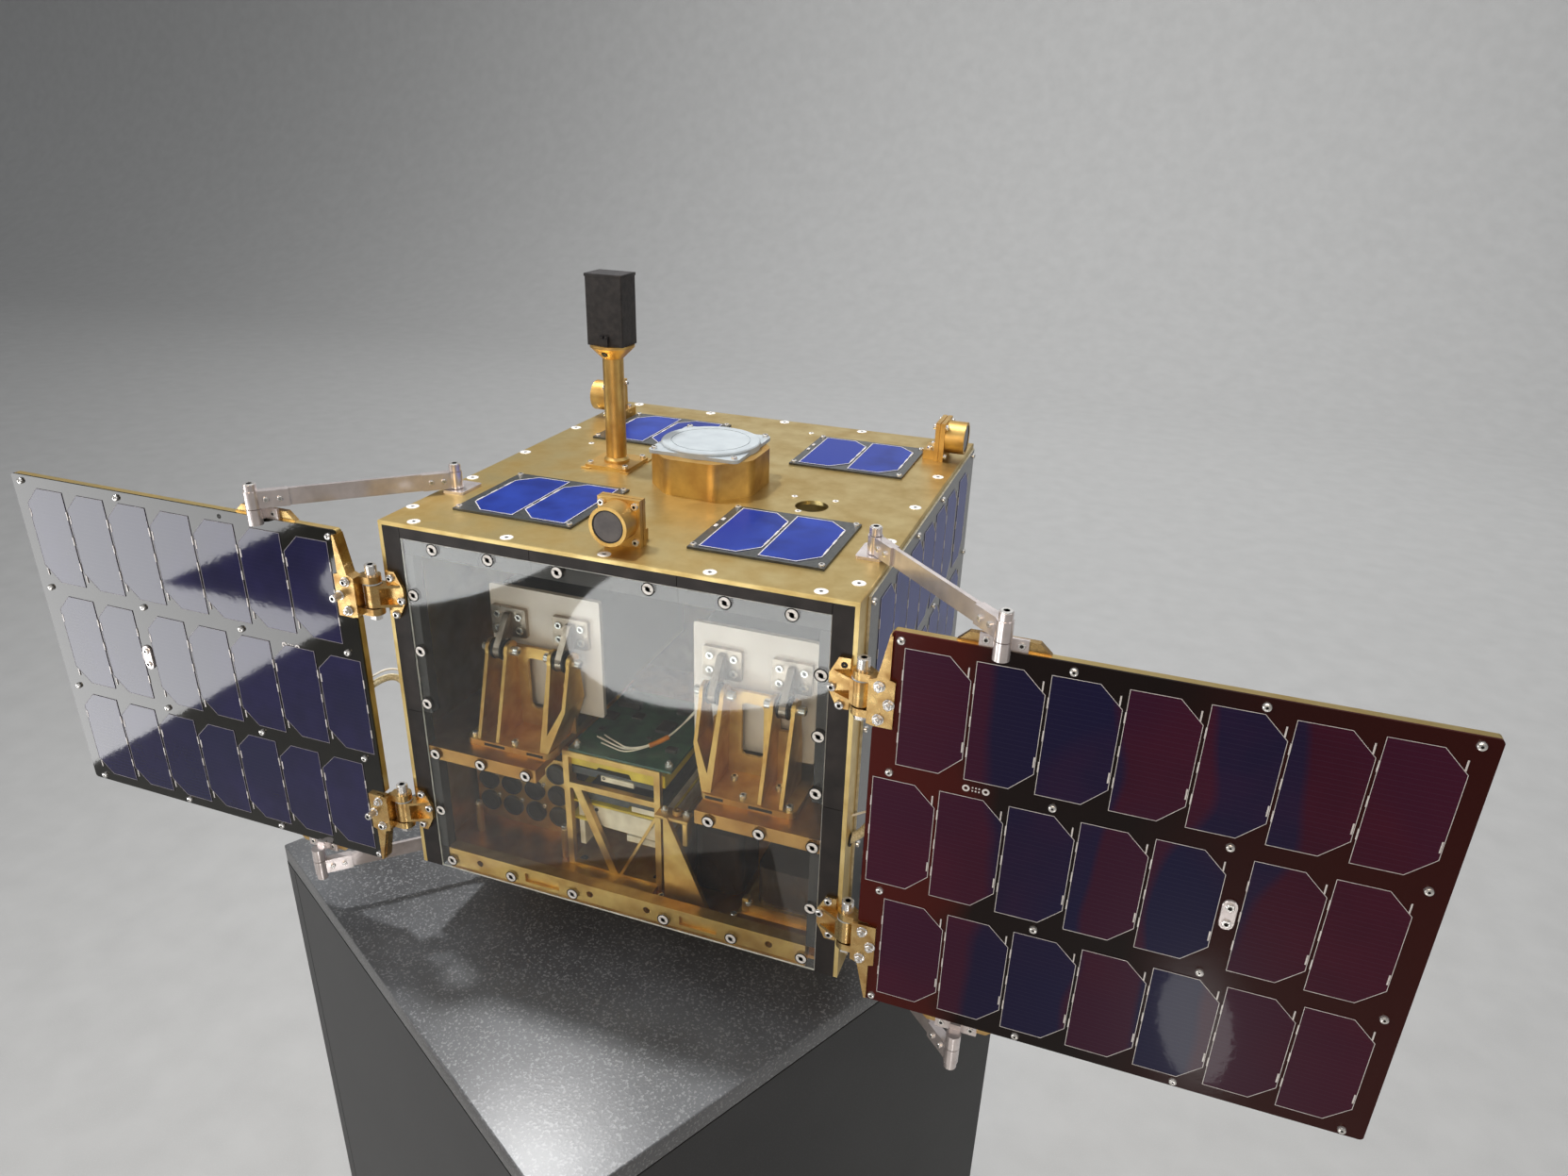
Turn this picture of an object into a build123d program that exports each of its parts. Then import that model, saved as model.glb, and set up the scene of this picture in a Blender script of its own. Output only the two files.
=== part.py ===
# Small satellite on an exhibition plinth: cubic bus with a clear front, two hinged solar wings
# held out by braces, mast, patch antenna and sun sensors.
# Millimetres, +Z up, origin on the floor below the centre of the bus, clear front facing -Y.
import math
import os

from build123d import *

os.makedirs("parts", exist_ok=True)

# Plinth
PLINTH_WIDTH = 470.0
PLINTH_DEPTH = 460.0
PLINTH_HEIGHT = 1000.0
PLINTH_X = -43.0
PLINTH_Y = -58.0
PLINTH_TURN = -28.3
PLINTH_BOARD = 18.0
RISER_SIZE = 210.0
RISER_HEIGHT = 60.0

# Bus
BUS_Z = PLINTH_HEIGHT + RISER_HEIGHT
BUS_WIDTH = 350.0
BUS_DEPTH = 370.0
BUS_HEIGHT = 294.0
WALL = 3.0
HALF_W = BUS_WIDTH / 2
FRONT = 180.0
BACK = BUS_DEPTH - FRONT
BUS_MID_Y = (BACK - FRONT) / 2
INNER_W = HALF_W - WALL
FRAME_BAR = 14.0
FRAME_DEEP = 12.0
LEDGE = 8.0
SEAM = 0.4
PANEL_THICK = 3.0
PANEL_HALF = INNER_W - FRAME_BAR - 0.2
PANEL_TOP = BUS_HEIGHT - 11.2
FRAME_SEAM_X = 54.0
FRAME_SEAM_Z = 142.5
SHELF_TOP = 113.0
SHELF_LIP = 11.0
SHELF_PLATE = 6.0
SHELF_BACK = -20.0
SHELF_INNER_X = 64.0
RAIL_HEIGHT = 16.0
RAIL_DEEP = 10.0
VIEW_HOLE_X = 94.0
VIEW_HOLE_Y = -29.0
VIEW_HOLE_R = 12.5
MAST_X = -85.3
MAST_Y = 3.2
MAST_BORE_R = 5.0

# Solar cells and boards
CELL_W = 40.15
CELL_H = 80.15
CELL_CROP = 13.5
CELL_PITCH = 42.05
CELL_THICK = 0.35
BOARD = 1.6
SIDE_BOARD_FRONT = -160.0
SIDE_BOARD_BACK = 187.0
SIDE_BOARD_LOW = 4.0
SIDE_BOARD_HIGH = BUS_HEIGHT - WALL - 1.0
TOP_BOARD_W = 96.0
TOP_BOARD_D = 88.0
TOP_BOARD_X = 92.0
TOP_BOARD_FRONT_Y = -98.5
TOP_BOARD_BACK_Y = 105.0

# Wings, in the deployed pose
WING_FRONT = 195.7
WING_BOARD = 1.5
WING_CORE = 5.0
WING_TAB_X = 191.0
WING_EDGE_X = 199.2
WING_OUTER_X = 510.6
WING_LOW = 5.5
WING_HIGH = BUS_HEIGHT - 6.5
TAB_LOW = 70.0
TAB_HIGH = 222.0
WING_BACK = WING_FRONT - WING_BOARD - WING_CORE

# Hinges
PIN_X = 181.0
PIN_Y = 186.5
PIN_R = 2.5
KNUCKLE_R = 6.5
KNUCKLE_HALF = 8.6
LUG_THICK = 5.2
LUG_GAP = 1.2
LUG_REAR = 4.6
HINGE_PLATE = 2.5
UPPER_HINGE_Z = 239.0
LOWER_HINGE_Z = 53.5

# Harness loops between bus and wings
HARNESS_X = 194.0
HARNESS_Y = 168.0
HARNESS_BEND = 7.0
HARNESS_SIDES = {
    # side: height at the wing, height at the bus, radius
    -1: (162.0, 154.0, 2.6),
    1: (136.0, 112.0, 3.2),
}

# Braces between bus and wings
BRACE_BUS_X = 163.0
BRACE_BUS_Y = 105.0
BRACE_WING_X = 263.0
BRACE_WING_Y = 200.9
BRACE_R = 5.0
BRACE_TALL = 12.5
BRACE_BAR = 3.0
BRACE_BORE_R = 2.7
BRACE_CLEAR = 0.6
FOOT_PLATE = 2.0
LOW_FOOT = 9.4
CAP_R = 4.25
CAP_TALL = 5.0
TOP_BRACE_Z = BUS_HEIGHT + FOOT_PLATE + BRACE_CLEAR
LOW_BRACE_Z = -LOW_FOOT - BRACE_CLEAR - BRACE_TALL


def plane_up(z):
    """Horizontal plane z above the underside of the bus."""
    return Plane.XY.offset(BUS_Z + z)


def save(piece, name):
    """Label one finished piece and write it."""
    piece.part.label = name
    export_step(piece.part, "parts/" + name + ".step")


def cell_outline(x, z, crop_side):
    """Corner points of one cell, its two cropped corners on crop_side."""
    inner = x - crop_side * CELL_W / 2
    outer = x + crop_side * CELL_W / 2
    crop_x = outer - crop_side * CELL_CROP
    low = z - CELL_H / 2
    high = z + CELL_H / 2
    points = [
        (inner, low),
        (crop_x, low),
        (outer, low + CELL_CROP),
        (outer, high - CELL_CROP),
        (crop_x, high),
        (inner, high),
    ]
    return points if crop_side > 0 else points[::-1]


# Plinth
plinth_spot = Location((PLINTH_X, PLINTH_Y, 0), (0, 0, PLINTH_TURN))

with BuildPart() as plinth_base:
    with Locations(plinth_spot):
        Box(PLINTH_WIDTH, PLINTH_DEPTH, PLINTH_BOARD, align=(Align.CENTER, Align.CENTER, Align.MIN))
save(plinth_base, "plinth_base")

with BuildPart() as plinth_sides:
    with BuildSketch(Plane.XY.offset(PLINTH_BOARD)):
        with Locations(plinth_spot):
            Rectangle(PLINTH_WIDTH, PLINTH_DEPTH)
            Rectangle(PLINTH_WIDTH - 2 * PLINTH_BOARD, PLINTH_DEPTH - 2 * PLINTH_BOARD, mode=Mode.SUBTRACT)
    extrude(amount=PLINTH_HEIGHT - 2 * PLINTH_BOARD)
save(plinth_sides, "plinth_sides")

with BuildPart() as plinth_top:
    with BuildSketch(Plane.XY.offset(PLINTH_HEIGHT - PLINTH_BOARD)):
        with Locations(plinth_spot):
            Rectangle(PLINTH_WIDTH, PLINTH_DEPTH)
    extrude(amount=PLINTH_BOARD)
save(plinth_top, "plinth_top")

with BuildPart() as riser:
    with BuildSketch(Plane.XY.offset(PLINTH_HEIGHT)):
        Rectangle(RISER_SIZE, RISER_SIZE)
    extrude(amount=RISER_HEIGHT)
save(riser, "riser")

# Bus shell
with BuildPart() as bottom_plate:
    with BuildSketch(plane_up(0)):
        floor_deep = BACK - WALL + FRONT - FRAME_DEEP
        with Locations((0, BACK - WALL - floor_deep / 2)):
            Rectangle(2 * INNER_W, floor_deep)
        with Locations((0, -FRONT + PANEL_THICK + (FRAME_DEEP - PANEL_THICK) / 2)):
            Rectangle(2 * (PANEL_HALF - LEDGE), FRAME_DEEP - PANEL_THICK)
    extrude(amount=WALL)
save(bottom_plate, "bottom_plate")

with BuildPart() as top_plate:
    with BuildSketch(plane_up(BUS_HEIGHT - WALL)):
        with Locations((0, BUS_MID_Y)):
            Rectangle(BUS_WIDTH, BUS_DEPTH)
        with Locations((VIEW_HOLE_X, VIEW_HOLE_Y)):
            Circle(VIEW_HOLE_R, mode=Mode.SUBTRACT)
        with Locations((MAST_X, MAST_Y)):
            Circle(MAST_BORE_R, mode=Mode.SUBTRACT)
    extrude(amount=WALL)
    chamfer(top_plate.edges().group_by(Axis.Z)[-1].filter_by(GeomType.LINE), 0.5)
save(top_plate, "top_plate")

with BuildPart() as side_walls:
    with BuildSketch(plane_up(0)):
        with Locations((HALF_W - WALL / 2, BUS_MID_Y), (-HALF_W + WALL / 2, BUS_MID_Y)):
            Rectangle(WALL, BUS_DEPTH)
    extrude(amount=BUS_HEIGHT - WALL)
save(side_walls, "side_walls")

with BuildPart() as rear_wall:
    with BuildSketch(plane_up(0)):
        with Locations((0, BACK - WALL / 2)):
            Rectangle(2 * INNER_W, WALL)
    extrude(amount=BUS_HEIGHT - WALL)
save(rear_wall, "rear_wall")

# Black front frame: five visible bars, stepped back behind the clear panel
frame_ledge_low = WALL + RAIL_HEIGHT + 0.5
frame_top = BUS_HEIGHT - WALL
top_bar_low = frame_top - 8.0
SIDE_BARS = [
    # low, high, ledge_low, ledge_high
    (0.0, FRAME_SEAM_Z - SEAM / 2, frame_ledge_low, SHELF_TOP - SHELF_LIP - SEAM),
    (FRAME_SEAM_Z + SEAM / 2, frame_top, FRAME_SEAM_Z + SEAM / 2, top_bar_low - 12.5),
]
TOP_BARS = [
    # left, right
    (-PANEL_HALF - 0.2 + SEAM, -FRAME_SEAM_X - SEAM / 2),
    (-FRAME_SEAM_X + SEAM / 2, FRAME_SEAM_X - SEAM / 2),
    (FRAME_SEAM_X + SEAM / 2, PANEL_HALF + 0.2 - SEAM),
]
with BuildPart() as front_frame:
    for side in (-1, 1):
        for low, high, ledge_low, ledge_high in SIDE_BARS:
            with BuildSketch(plane_up(low)):
                with Locations((side * (INNER_W - FRAME_BAR / 2), -FRONT + FRAME_DEEP / 2)):
                    Rectangle(FRAME_BAR, FRAME_DEEP)
            extrude(amount=high - low)
            with BuildSketch(plane_up(ledge_low)):
                with Locations(
                    (
                        side * (INNER_W - FRAME_BAR - LEDGE / 2),
                        -FRONT + PANEL_THICK + (FRAME_DEEP - PANEL_THICK) / 2,
                    )
                ):
                    Rectangle(LEDGE, FRAME_DEEP - PANEL_THICK)
            extrude(amount=ledge_high - ledge_low)
    for left, right in TOP_BARS:
        with BuildSketch(Plane.YZ.offset(left)):
            with Locations((-FRONT + FRAME_DEEP / 2, BUS_Z + (frame_top + top_bar_low) / 2)):
                Rectangle(FRAME_DEEP, frame_top - top_bar_low)
            with Locations(
                (-FRONT + PANEL_THICK + (FRAME_DEEP - PANEL_THICK) / 2, BUS_Z + top_bar_low - 6.0)
            ):
                Rectangle(FRAME_DEEP - PANEL_THICK, 12.0)
        extrude(amount=right - left)
save(front_frame, "front_frame")

RAIL_HOLES_X = (-122.0, -24.0, 24.0, 122.0)
rail_half = PANEL_HALF - LEDGE
with BuildPart() as front_rail:
    with BuildSketch(plane_up(WALL)):
        with Locations((0, -FRONT + PANEL_THICK + RAIL_DEEP / 2)):
            Rectangle(2 * rail_half, RAIL_DEEP)
    extrude(amount=RAIL_HEIGHT)
    with BuildSketch(Plane.XZ.offset(FRONT - PANEL_THICK)):
        with Locations((-66, BUS_Z + WALL + 7), (66, BUS_Z + WALL + 7)):
            Rectangle(30, 8)
    extrude(amount=-2.5, mode=Mode.SUBTRACT)
    with BuildSketch(Plane.XZ.offset(FRONT - PANEL_THICK)):
        for hole_x in RAIL_HOLES_X:
            with Locations((hole_x, BUS_Z + WALL + 8)):
                Circle(2.8)
    extrude(amount=-RAIL_DEEP, mode=Mode.SUBTRACT)
save(front_rail, "front_rail")

with BuildPart() as clear_panel:
    with BuildSketch(Plane.XZ.offset(FRONT)):
        with Locations((0, BUS_Z + PANEL_TOP / 2)):
            Rectangle(2 * PANEL_HALF, PANEL_TOP)
    extrude(amount=-PANEL_THICK)
save(clear_panel, "clear_panel")

# Boards and cells carried on the bus
TOP_BOARDS = [(side * TOP_BOARD_X, y) for side in (-1, 1) for y in (TOP_BOARD_FRONT_Y, TOP_BOARD_BACK_Y)]
side_board_depth = SIDE_BOARD_BACK - SIDE_BOARD_FRONT
side_board_mid = (SIDE_BOARD_BACK + SIDE_BOARD_FRONT) / 2
SIDE_ROWS = [
    # middle of the row below the board's top, front edge of the first cell, gap after the sixth cell
    (51.8, -135.0, 7.4),
    (143.8, -126.7, 0.0),
    (235.8, -135.0, 7.4),
]
with BuildPart() as body_boards:
    for side in (-1, 1):
        with BuildSketch(Plane.YZ.offset(side * HALF_W)):
            with Locations((side_board_mid, BUS_Z + (SIDE_BOARD_LOW + SIDE_BOARD_HIGH) / 2)):
                Rectangle(side_board_depth, SIDE_BOARD_HIGH - SIDE_BOARD_LOW)
        extrude(amount=side * BOARD)
    with BuildSketch(plane_up(BUS_HEIGHT)):
        with Locations(*TOP_BOARDS):
            Rectangle(TOP_BOARD_W, TOP_BOARD_D)
    extrude(amount=BOARD)
save(body_boards, "body_boards")

with BuildPart() as body_cells:
    for side in (-1, 1):
        with BuildSketch(Plane.YZ.offset(side * (HALF_W + BOARD))):
            for below, first, gap in SIDE_ROWS:
                for column in range(7):
                    cell_y = first + CELL_W / 2 + column * CELL_PITCH + (gap if column == 6 else 0)
                    Polygon(*cell_outline(cell_y, BUS_Z + SIDE_BOARD_HIGH - below, 1), align=None)
        extrude(amount=side * CELL_THICK)
    with BuildSketch(plane_up(BUS_HEIGHT + BOARD)):
        for board_x, board_y in TOP_BOARDS:
            for side in (-1, 1):
                crop_side = 1 if board_x > 0 else -1
                Polygon(*cell_outline(board_x + side * CELL_PITCH / 2, board_y, crop_side), align=None)
    extrude(amount=CELL_THICK)
save(body_cells, "body_cells")

# Patch antenna on its housing
HOUSING_X = 2.9
HOUSING_Y = -6.8
HOUSING_SIZE = 85.4
HOUSING_CROP = 23.0
HOUSING_ROUND = 14.0
HOUSING_HIGH = 28.0
HOUSING_WALL = 3.0
with BuildPart() as antenna_housing:
    with BuildSketch(plane_up(BUS_HEIGHT)) as housing_foot:
        with Locations((HOUSING_X, HOUSING_Y)):
            Rectangle(HOUSING_SIZE, HOUSING_SIZE)
        chamfer(housing_foot.vertices(), HOUSING_CROP)
        fillet(housing_foot.vertices(), HOUSING_ROUND)
    extrude(amount=HOUSING_HIGH)
    offset(amount=-HOUSING_WALL, openings=antenna_housing.faces().sort_by(Axis.Z)[0])
save(antenna_housing, "antenna_housing")

ANTENNA_X = 1.5
ANTENNA_Y = -3.5
ANTENNA_SQUARE = 74.0
ANTENNA_CORNER_R = 5.0
ANTENNA_DISC_R = 38.5
ANTENNA_BASE = 2.6
ANTENNA_RISE = 2.6
GROOVE_R = 31.0
GROOVE_WIDE = 0.8
GROOVE_DEEP = 0.6
with BuildPart() as patch_antenna:
    with BuildSketch(plane_up(BUS_HEIGHT + HOUSING_HIGH)) as antenna_plate:
        with Locations((ANTENNA_X, ANTENNA_Y)):
            Rectangle(ANTENNA_SQUARE, ANTENNA_SQUARE)
        fillet(antenna_plate.vertices(), ANTENNA_CORNER_R)
    extrude(amount=ANTENNA_BASE)
    with BuildSketch(plane_up(BUS_HEIGHT + HOUSING_HIGH)):
        with Locations((ANTENNA_X, ANTENNA_Y)):
            Circle(ANTENNA_DISC_R)
    extrude(amount=ANTENNA_BASE + ANTENNA_RISE)
    chamfer(patch_antenna.edges().group_by(Axis.Z)[-1], 0.8)
    with BuildSketch(plane_up(BUS_HEIGHT + HOUSING_HIGH + ANTENNA_BASE + ANTENNA_RISE)):
        with Locations((ANTENNA_X, ANTENNA_Y)):
            Circle(GROOVE_R)
            Circle(GROOVE_R - GROOVE_WIDE, mode=Mode.SUBTRACT)
    extrude(amount=-GROOVE_DEEP, mode=Mode.SUBTRACT)
save(patch_antenna, "patch_antenna")

# Mast and its sensor
MAST_R = 8.25
MAST_BASE = 39.0
MAST_BASE_THICK = 3.0
MAST_COLLAR = 2.0
MAST_TUBE_TOP = BUS_HEIGHT + 87.0
MAST_TOP = BUS_HEIGHT + 98.0
MAST_FLARE_R = 17.5
MAST_RIM = 2.0
with BuildPart() as mast:
    with BuildSketch(plane_up(BUS_HEIGHT)) as mast_foot:
        with Locations((MAST_X, MAST_Y)):
            Rectangle(MAST_BASE, MAST_BASE)
        fillet(mast_foot.vertices(), 3)
    extrude(amount=MAST_BASE_THICK)
    with BuildSketch(Plane.XZ.offset(-MAST_Y)):
        with BuildLine():
            Polyline(
                (MAST_X + MAST_BORE_R, BUS_Z + BUS_HEIGHT),
                (MAST_X + MAST_R + MAST_COLLAR, BUS_Z + BUS_HEIGHT),
                (MAST_X + MAST_R + MAST_COLLAR, BUS_Z + BUS_HEIGHT + MAST_BASE_THICK + MAST_COLLAR),
                (MAST_X + MAST_R, BUS_Z + BUS_HEIGHT + MAST_BASE_THICK + 2 * MAST_COLLAR),
                (MAST_X + MAST_R, BUS_Z + MAST_TUBE_TOP),
                (MAST_X + MAST_FLARE_R, BUS_Z + MAST_TOP - MAST_RIM),
                (MAST_X + MAST_FLARE_R, BUS_Z + MAST_TOP),
                (MAST_X + MAST_BORE_R, BUS_Z + MAST_TOP),
                close=True,
            )
        make_face()
    revolve(axis=Axis((MAST_X, MAST_Y, 0), (0, 0, 1)))
    with BuildSketch(plane_up(BUS_HEIGHT)):
        with Locations((MAST_X, MAST_Y)):
            Circle(MAST_BORE_R)
    extrude(amount=MAST_TOP - BUS_HEIGHT, mode=Mode.SUBTRACT)
save(mast, "mast")

SENSOR_BOX = (31.0, 24.0, 54.0)
with BuildPart() as mast_sensor:
    with BuildSketch(plane_up(MAST_TOP)) as sensor_foot:
        with Locations((MAST_X, MAST_Y)):
            Rectangle(SENSOR_BOX[0], SENSOR_BOX[1])
        fillet(sensor_foot.vertices(), 1.2)
    extrude(amount=SENSOR_BOX[2])
    with BuildSketch(Plane.XZ.offset(SENSOR_BOX[1] / 2 - MAST_Y)):
        with Locations((MAST_X, BUS_Z + MAST_TOP + 3)):
            Rectangle(7, 6)
    extrude(amount=2.5)
save(mast_sensor, "mast_sensor")

# Sun sensors: foot, two flange plates with a groove between them, and a barrel round the window
BARREL_R = 13.8
BARREL_BORE_R = 11.4
BARREL_LONG = 16.0
BARREL_HIGH = 18.5
WINDOW_BACK = 2.5
FLANGE_W = 31.0
FLANGE_HIGH = 33.0
FLANGE_PLATE = 3.6
FLANGE_GROOVE = 0.8
FLANGE_INSET = 1.2
FOOT_W = 24.0
FOOT_LONG = 10.0
FOOT_HIGH = 8.0
SUN_SENSORS = [
    # x, y of the front flange plate's outer face, turn about Z
    (1.0, -155.0, 0.0),
    (160.6, 137.0, 90.0),
    (-160.6, 137.0, -90.0),
]
flange_deep = 2 * FLANGE_PLATE + FLANGE_GROOVE
with BuildPart() as sun_sensors:
    for place_x, place_y, turn in SUN_SENSORS:
        with Locations(Location((place_x, place_y, BUS_Z + BUS_HEIGHT), (0, 0, turn))):
            for back in (0.0, FLANGE_PLATE + FLANGE_GROOVE):
                with Locations((0, back, 0)):
                    Box(FLANGE_W, FLANGE_PLATE, FLANGE_HIGH, align=(Align.CENTER, Align.MIN, Align.MIN))
            Box(
                FLANGE_W - 2 * FLANGE_INSET,
                flange_deep,
                FLANGE_HIGH - FLANGE_INSET,
                align=(Align.CENTER, Align.MIN, Align.MIN),
            )
            with Locations((0, flange_deep, 0)):
                Box(FOOT_W, FOOT_LONG, FOOT_HIGH, align=(Align.CENTER, Align.MIN, Align.MIN))
            with Locations(Location((0, 0, BARREL_HIGH), (90, 0, 0))):
                Cylinder(BARREL_R, BARREL_LONG, align=(Align.CENTER, Align.CENTER, Align.MIN))
                Cylinder(
                    BARREL_BORE_R,
                    BARREL_LONG,
                    align=(Align.CENTER, Align.CENTER, Align.MIN),
                    mode=Mode.SUBTRACT,
                )
save(sun_sensors, "sun_sensors")

with BuildPart() as sun_lenses:
    for place_x, place_y, turn in SUN_SENSORS:
        with Locations(Location((place_x, place_y, BUS_Z + BUS_HEIGHT), (0, 0, turn))):
            with Locations(Location((0, 0, BARREL_HIGH), (90, 0, 0))):
                Cylinder(
                    BARREL_BORE_R, BARREL_LONG - WINDOW_BACK, align=(Align.CENTER, Align.CENTER, Align.MIN)
                )
save(sun_lenses, "sun_lenses")

# Shelves inside the bus
with BuildPart() as shelves:
    for side in (-1, 1):
        with BuildSketch(plane_up(SHELF_TOP - SHELF_PLATE)):
            shelf_width = INNER_W - SHELF_INNER_X
            shelf_depth = SHELF_BACK + FRONT - FRAME_DEEP
            with Locations((side * (SHELF_INNER_X + shelf_width / 2), SHELF_BACK - shelf_depth / 2)):
                Rectangle(shelf_width, shelf_depth)
        extrude(amount=SHELF_PLATE)
        with BuildSketch(plane_up(SHELF_TOP - SHELF_LIP)):
            lip_width = PANEL_HALF - 0.2 - SHELF_INNER_X
            lip_deep = FRAME_DEEP - PANEL_THICK + 4
            with Locations((side * (SHELF_INNER_X + lip_width / 2), -FRONT + PANEL_THICK + lip_deep / 2)):
                Rectangle(lip_width, lip_deep)
        extrude(amount=SHELF_LIP)
save(shelves, "shelves")

# Machined payload brackets: ribs, web with window, crossbar and pin bosses
RIB = 2.8
RIB_X = (53.5, 69.5, 106.5, 122.5)
RIB_FOOT_X = 66.0
PAYLOAD_PIN_Y = -134.0
PAYLOAD_PIN_Z = 184.0
PAYLOAD_PIN_R = 2.6
BRACKET_BASE = 5.0
BRACKET_FRONT = -163.0
BRACKET_BACK = -92.0
WEB_Y = -128.0
WEB_THICK = 3.0
WINDOW_X = 88.0
WINDOW_W = 17.0
base_top = SHELF_TOP + BRACKET_BASE
with BuildPart() as rib_brackets:
    for side in (-1, 1):
        with BuildSketch(Plane.XZ.offset(-BRACKET_BACK)):
            for rib_x in RIB_X[2:]:
                with Locations((side * rib_x, BUS_Z + (base_top + PAYLOAD_PIN_Z + 8) / 2)):
                    Rectangle(RIB, PAYLOAD_PIN_Z + 8 - base_top)
            with BuildLine():
                Polyline(
                    (side * (RIB_X[1] + RIB / 2), BUS_Z + PAYLOAD_PIN_Z + 8),
                    (side * (RIB_X[1] - RIB / 2), BUS_Z + PAYLOAD_PIN_Z + 8),
                    (side * (RIB_FOOT_X - 1.0), BUS_Z + 131),
                    (side * (RIB_X[0] + RIB / 2), BUS_Z + 152),
                    (side * (RIB_X[0] + RIB / 2), BUS_Z + PAYLOAD_PIN_Z + 8),
                    (side * (RIB_X[0] - RIB / 2), BUS_Z + PAYLOAD_PIN_Z + 8),
                    (side * (RIB_X[0] - RIB / 2), BUS_Z + 150),
                    (side * (RIB_FOOT_X - 3.5), BUS_Z + base_top),
                    (side * (RIB_FOOT_X + 3.5), BUS_Z + base_top),
                    close=True,
                )
            make_face()
        extrude(amount=BRACKET_BACK - BRACKET_FRONT)
    with BuildSketch(Plane.YZ.offset(-INNER_W)) as rib_profile:
        with BuildLine():
            Polyline(
                (BRACKET_FRONT + 2, BUS_Z + base_top),
                (PAYLOAD_PIN_Y - 7.5, BUS_Z + PAYLOAD_PIN_Z - 2),
                (PAYLOAD_PIN_Y - 7.5, BUS_Z + PAYLOAD_PIN_Z + 7.5),
                (PAYLOAD_PIN_Y + 7.5, BUS_Z + PAYLOAD_PIN_Z + 7.5),
                (PAYLOAD_PIN_Y + 7.5, BUS_Z + PAYLOAD_PIN_Z - 4),
                (WEB_Y + 6, BUS_Z + 150),
                (WEB_Y + 8, BUS_Z + base_top),
                close=True,
            )
        make_face()
        fillet(rib_profile.vertices().group_by(Axis.Y)[-1], 7)
    extrude(amount=2 * INNER_W, mode=Mode.INTERSECT)
    for side in (-1, 1):
        with BuildSketch(Plane.XZ.offset(-WEB_Y - WEB_THICK)):
            with Locations((side * WINDOW_X, BUS_Z + (base_top + 160) / 2)):
                Rectangle(RIB_X[3] - RIB_X[1] + 8, 160 - base_top)
            with Locations((side * WINDOW_X, BUS_Z + 172)):
                Rectangle(RIB_X[2] - RIB_X[1], 28)
            with Locations((side * WINDOW_X, BUS_Z + 155)):
                RectangleRounded(WINDOW_W, 44, 4, mode=Mode.SUBTRACT)
        extrude(amount=WEB_THICK)
        with BuildSketch(plane_up(SHELF_TOP)) as bracket_foot:
            with Locations((side * 97.5, (BRACKET_FRONT + BRACKET_BACK) / 2)):
                Rectangle(72, BRACKET_BACK - BRACKET_FRONT)
            fillet(bracket_foot.vertices(), 6)
        extrude(amount=BRACKET_BASE)
    with BuildSketch(Plane.YZ.offset(-INNER_W)):
        with Locations((PAYLOAD_PIN_Y, BUS_Z + PAYLOAD_PIN_Z)):
            Circle(PAYLOAD_PIN_R + 0.1)
    extrude(amount=2 * INNER_W, mode=Mode.SUBTRACT)
save(rib_brackets, "rib_brackets")

PLATE_W = 94.0
PLATE_LOW = 131.0
PLATE_HIGH = 229.0
PLATE_X = 85.0
PLATE_FRONT = -118.0
with BuildPart() as payload_plates:
    with BuildSketch(Plane.XZ.offset(-PLATE_FRONT)) as plate_face:
        with Locations(*[(side * PLATE_X, BUS_Z + (PLATE_LOW + PLATE_HIGH) / 2) for side in (-1, 1)]):
            Rectangle(PLATE_W, PLATE_HIGH - PLATE_LOW)
        fillet(plate_face.vertices(), 2)
    extrude(amount=-4)
save(payload_plates, "payload_plates")

ARM_X = [(RIB_X[0] + RIB_X[1]) / 2, (RIB_X[2] + RIB_X[3]) / 2]
PAYLOAD_PIN_LONG = RIB_X[1] - RIB_X[0] + RIB + 3
with BuildPart() as payload_arms:
    for side in (-1, 1):
        for arm_x in ARM_X:
            with BuildSketch(Plane.XZ.offset(-PLATE_FRONT)):
                with Locations((side * arm_x, BUS_Z + 201)):
                    RectangleRounded(30, 24, 1.5)
            extrude(amount=4)
            with BuildSketch(Plane.YZ.offset(side * arm_x - 2.5)):
                with BuildLine():
                    Polyline(
                        (PLATE_FRONT - 3, BUS_Z + 209),
                        (PLATE_FRONT - 7, BUS_Z + 209),
                        (PAYLOAD_PIN_Y - 7, BUS_Z + PAYLOAD_PIN_Z + 4),
                        (PAYLOAD_PIN_Y, BUS_Z + PAYLOAD_PIN_Z - 4),
                        (PLATE_FRONT - 3, BUS_Z + 191),
                        close=True,
                    )
                make_face()
                with Locations((PAYLOAD_PIN_Y, BUS_Z + PAYLOAD_PIN_Z)):
                    Circle(8)
            extrude(amount=5)
            with BuildSketch(Plane.YZ.offset(side * arm_x - PAYLOAD_PIN_LONG / 2)):
                with Locations((PAYLOAD_PIN_Y, BUS_Z + PAYLOAD_PIN_Z)):
                    Circle(PAYLOAD_PIN_R)
            extrude(amount=PAYLOAD_PIN_LONG)
save(payload_arms, "payload_arms")

with BuildPart() as payload_boxes:
    with BuildSketch(Plane.XZ.offset(-PLATE_FRONT - 4)) as box_face:
        with Locations(*[(side * PLATE_X, BUS_Z + (PLATE_LOW + PLATE_HIGH) / 2) for side in (-1, 1)]):
            Rectangle(PLATE_W - 6, PLATE_HIGH - PLATE_LOW - 6)
        fillet(box_face.vertices(), 4)
    extrude(amount=-150)
save(payload_boxes, "payload_boxes")

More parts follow.
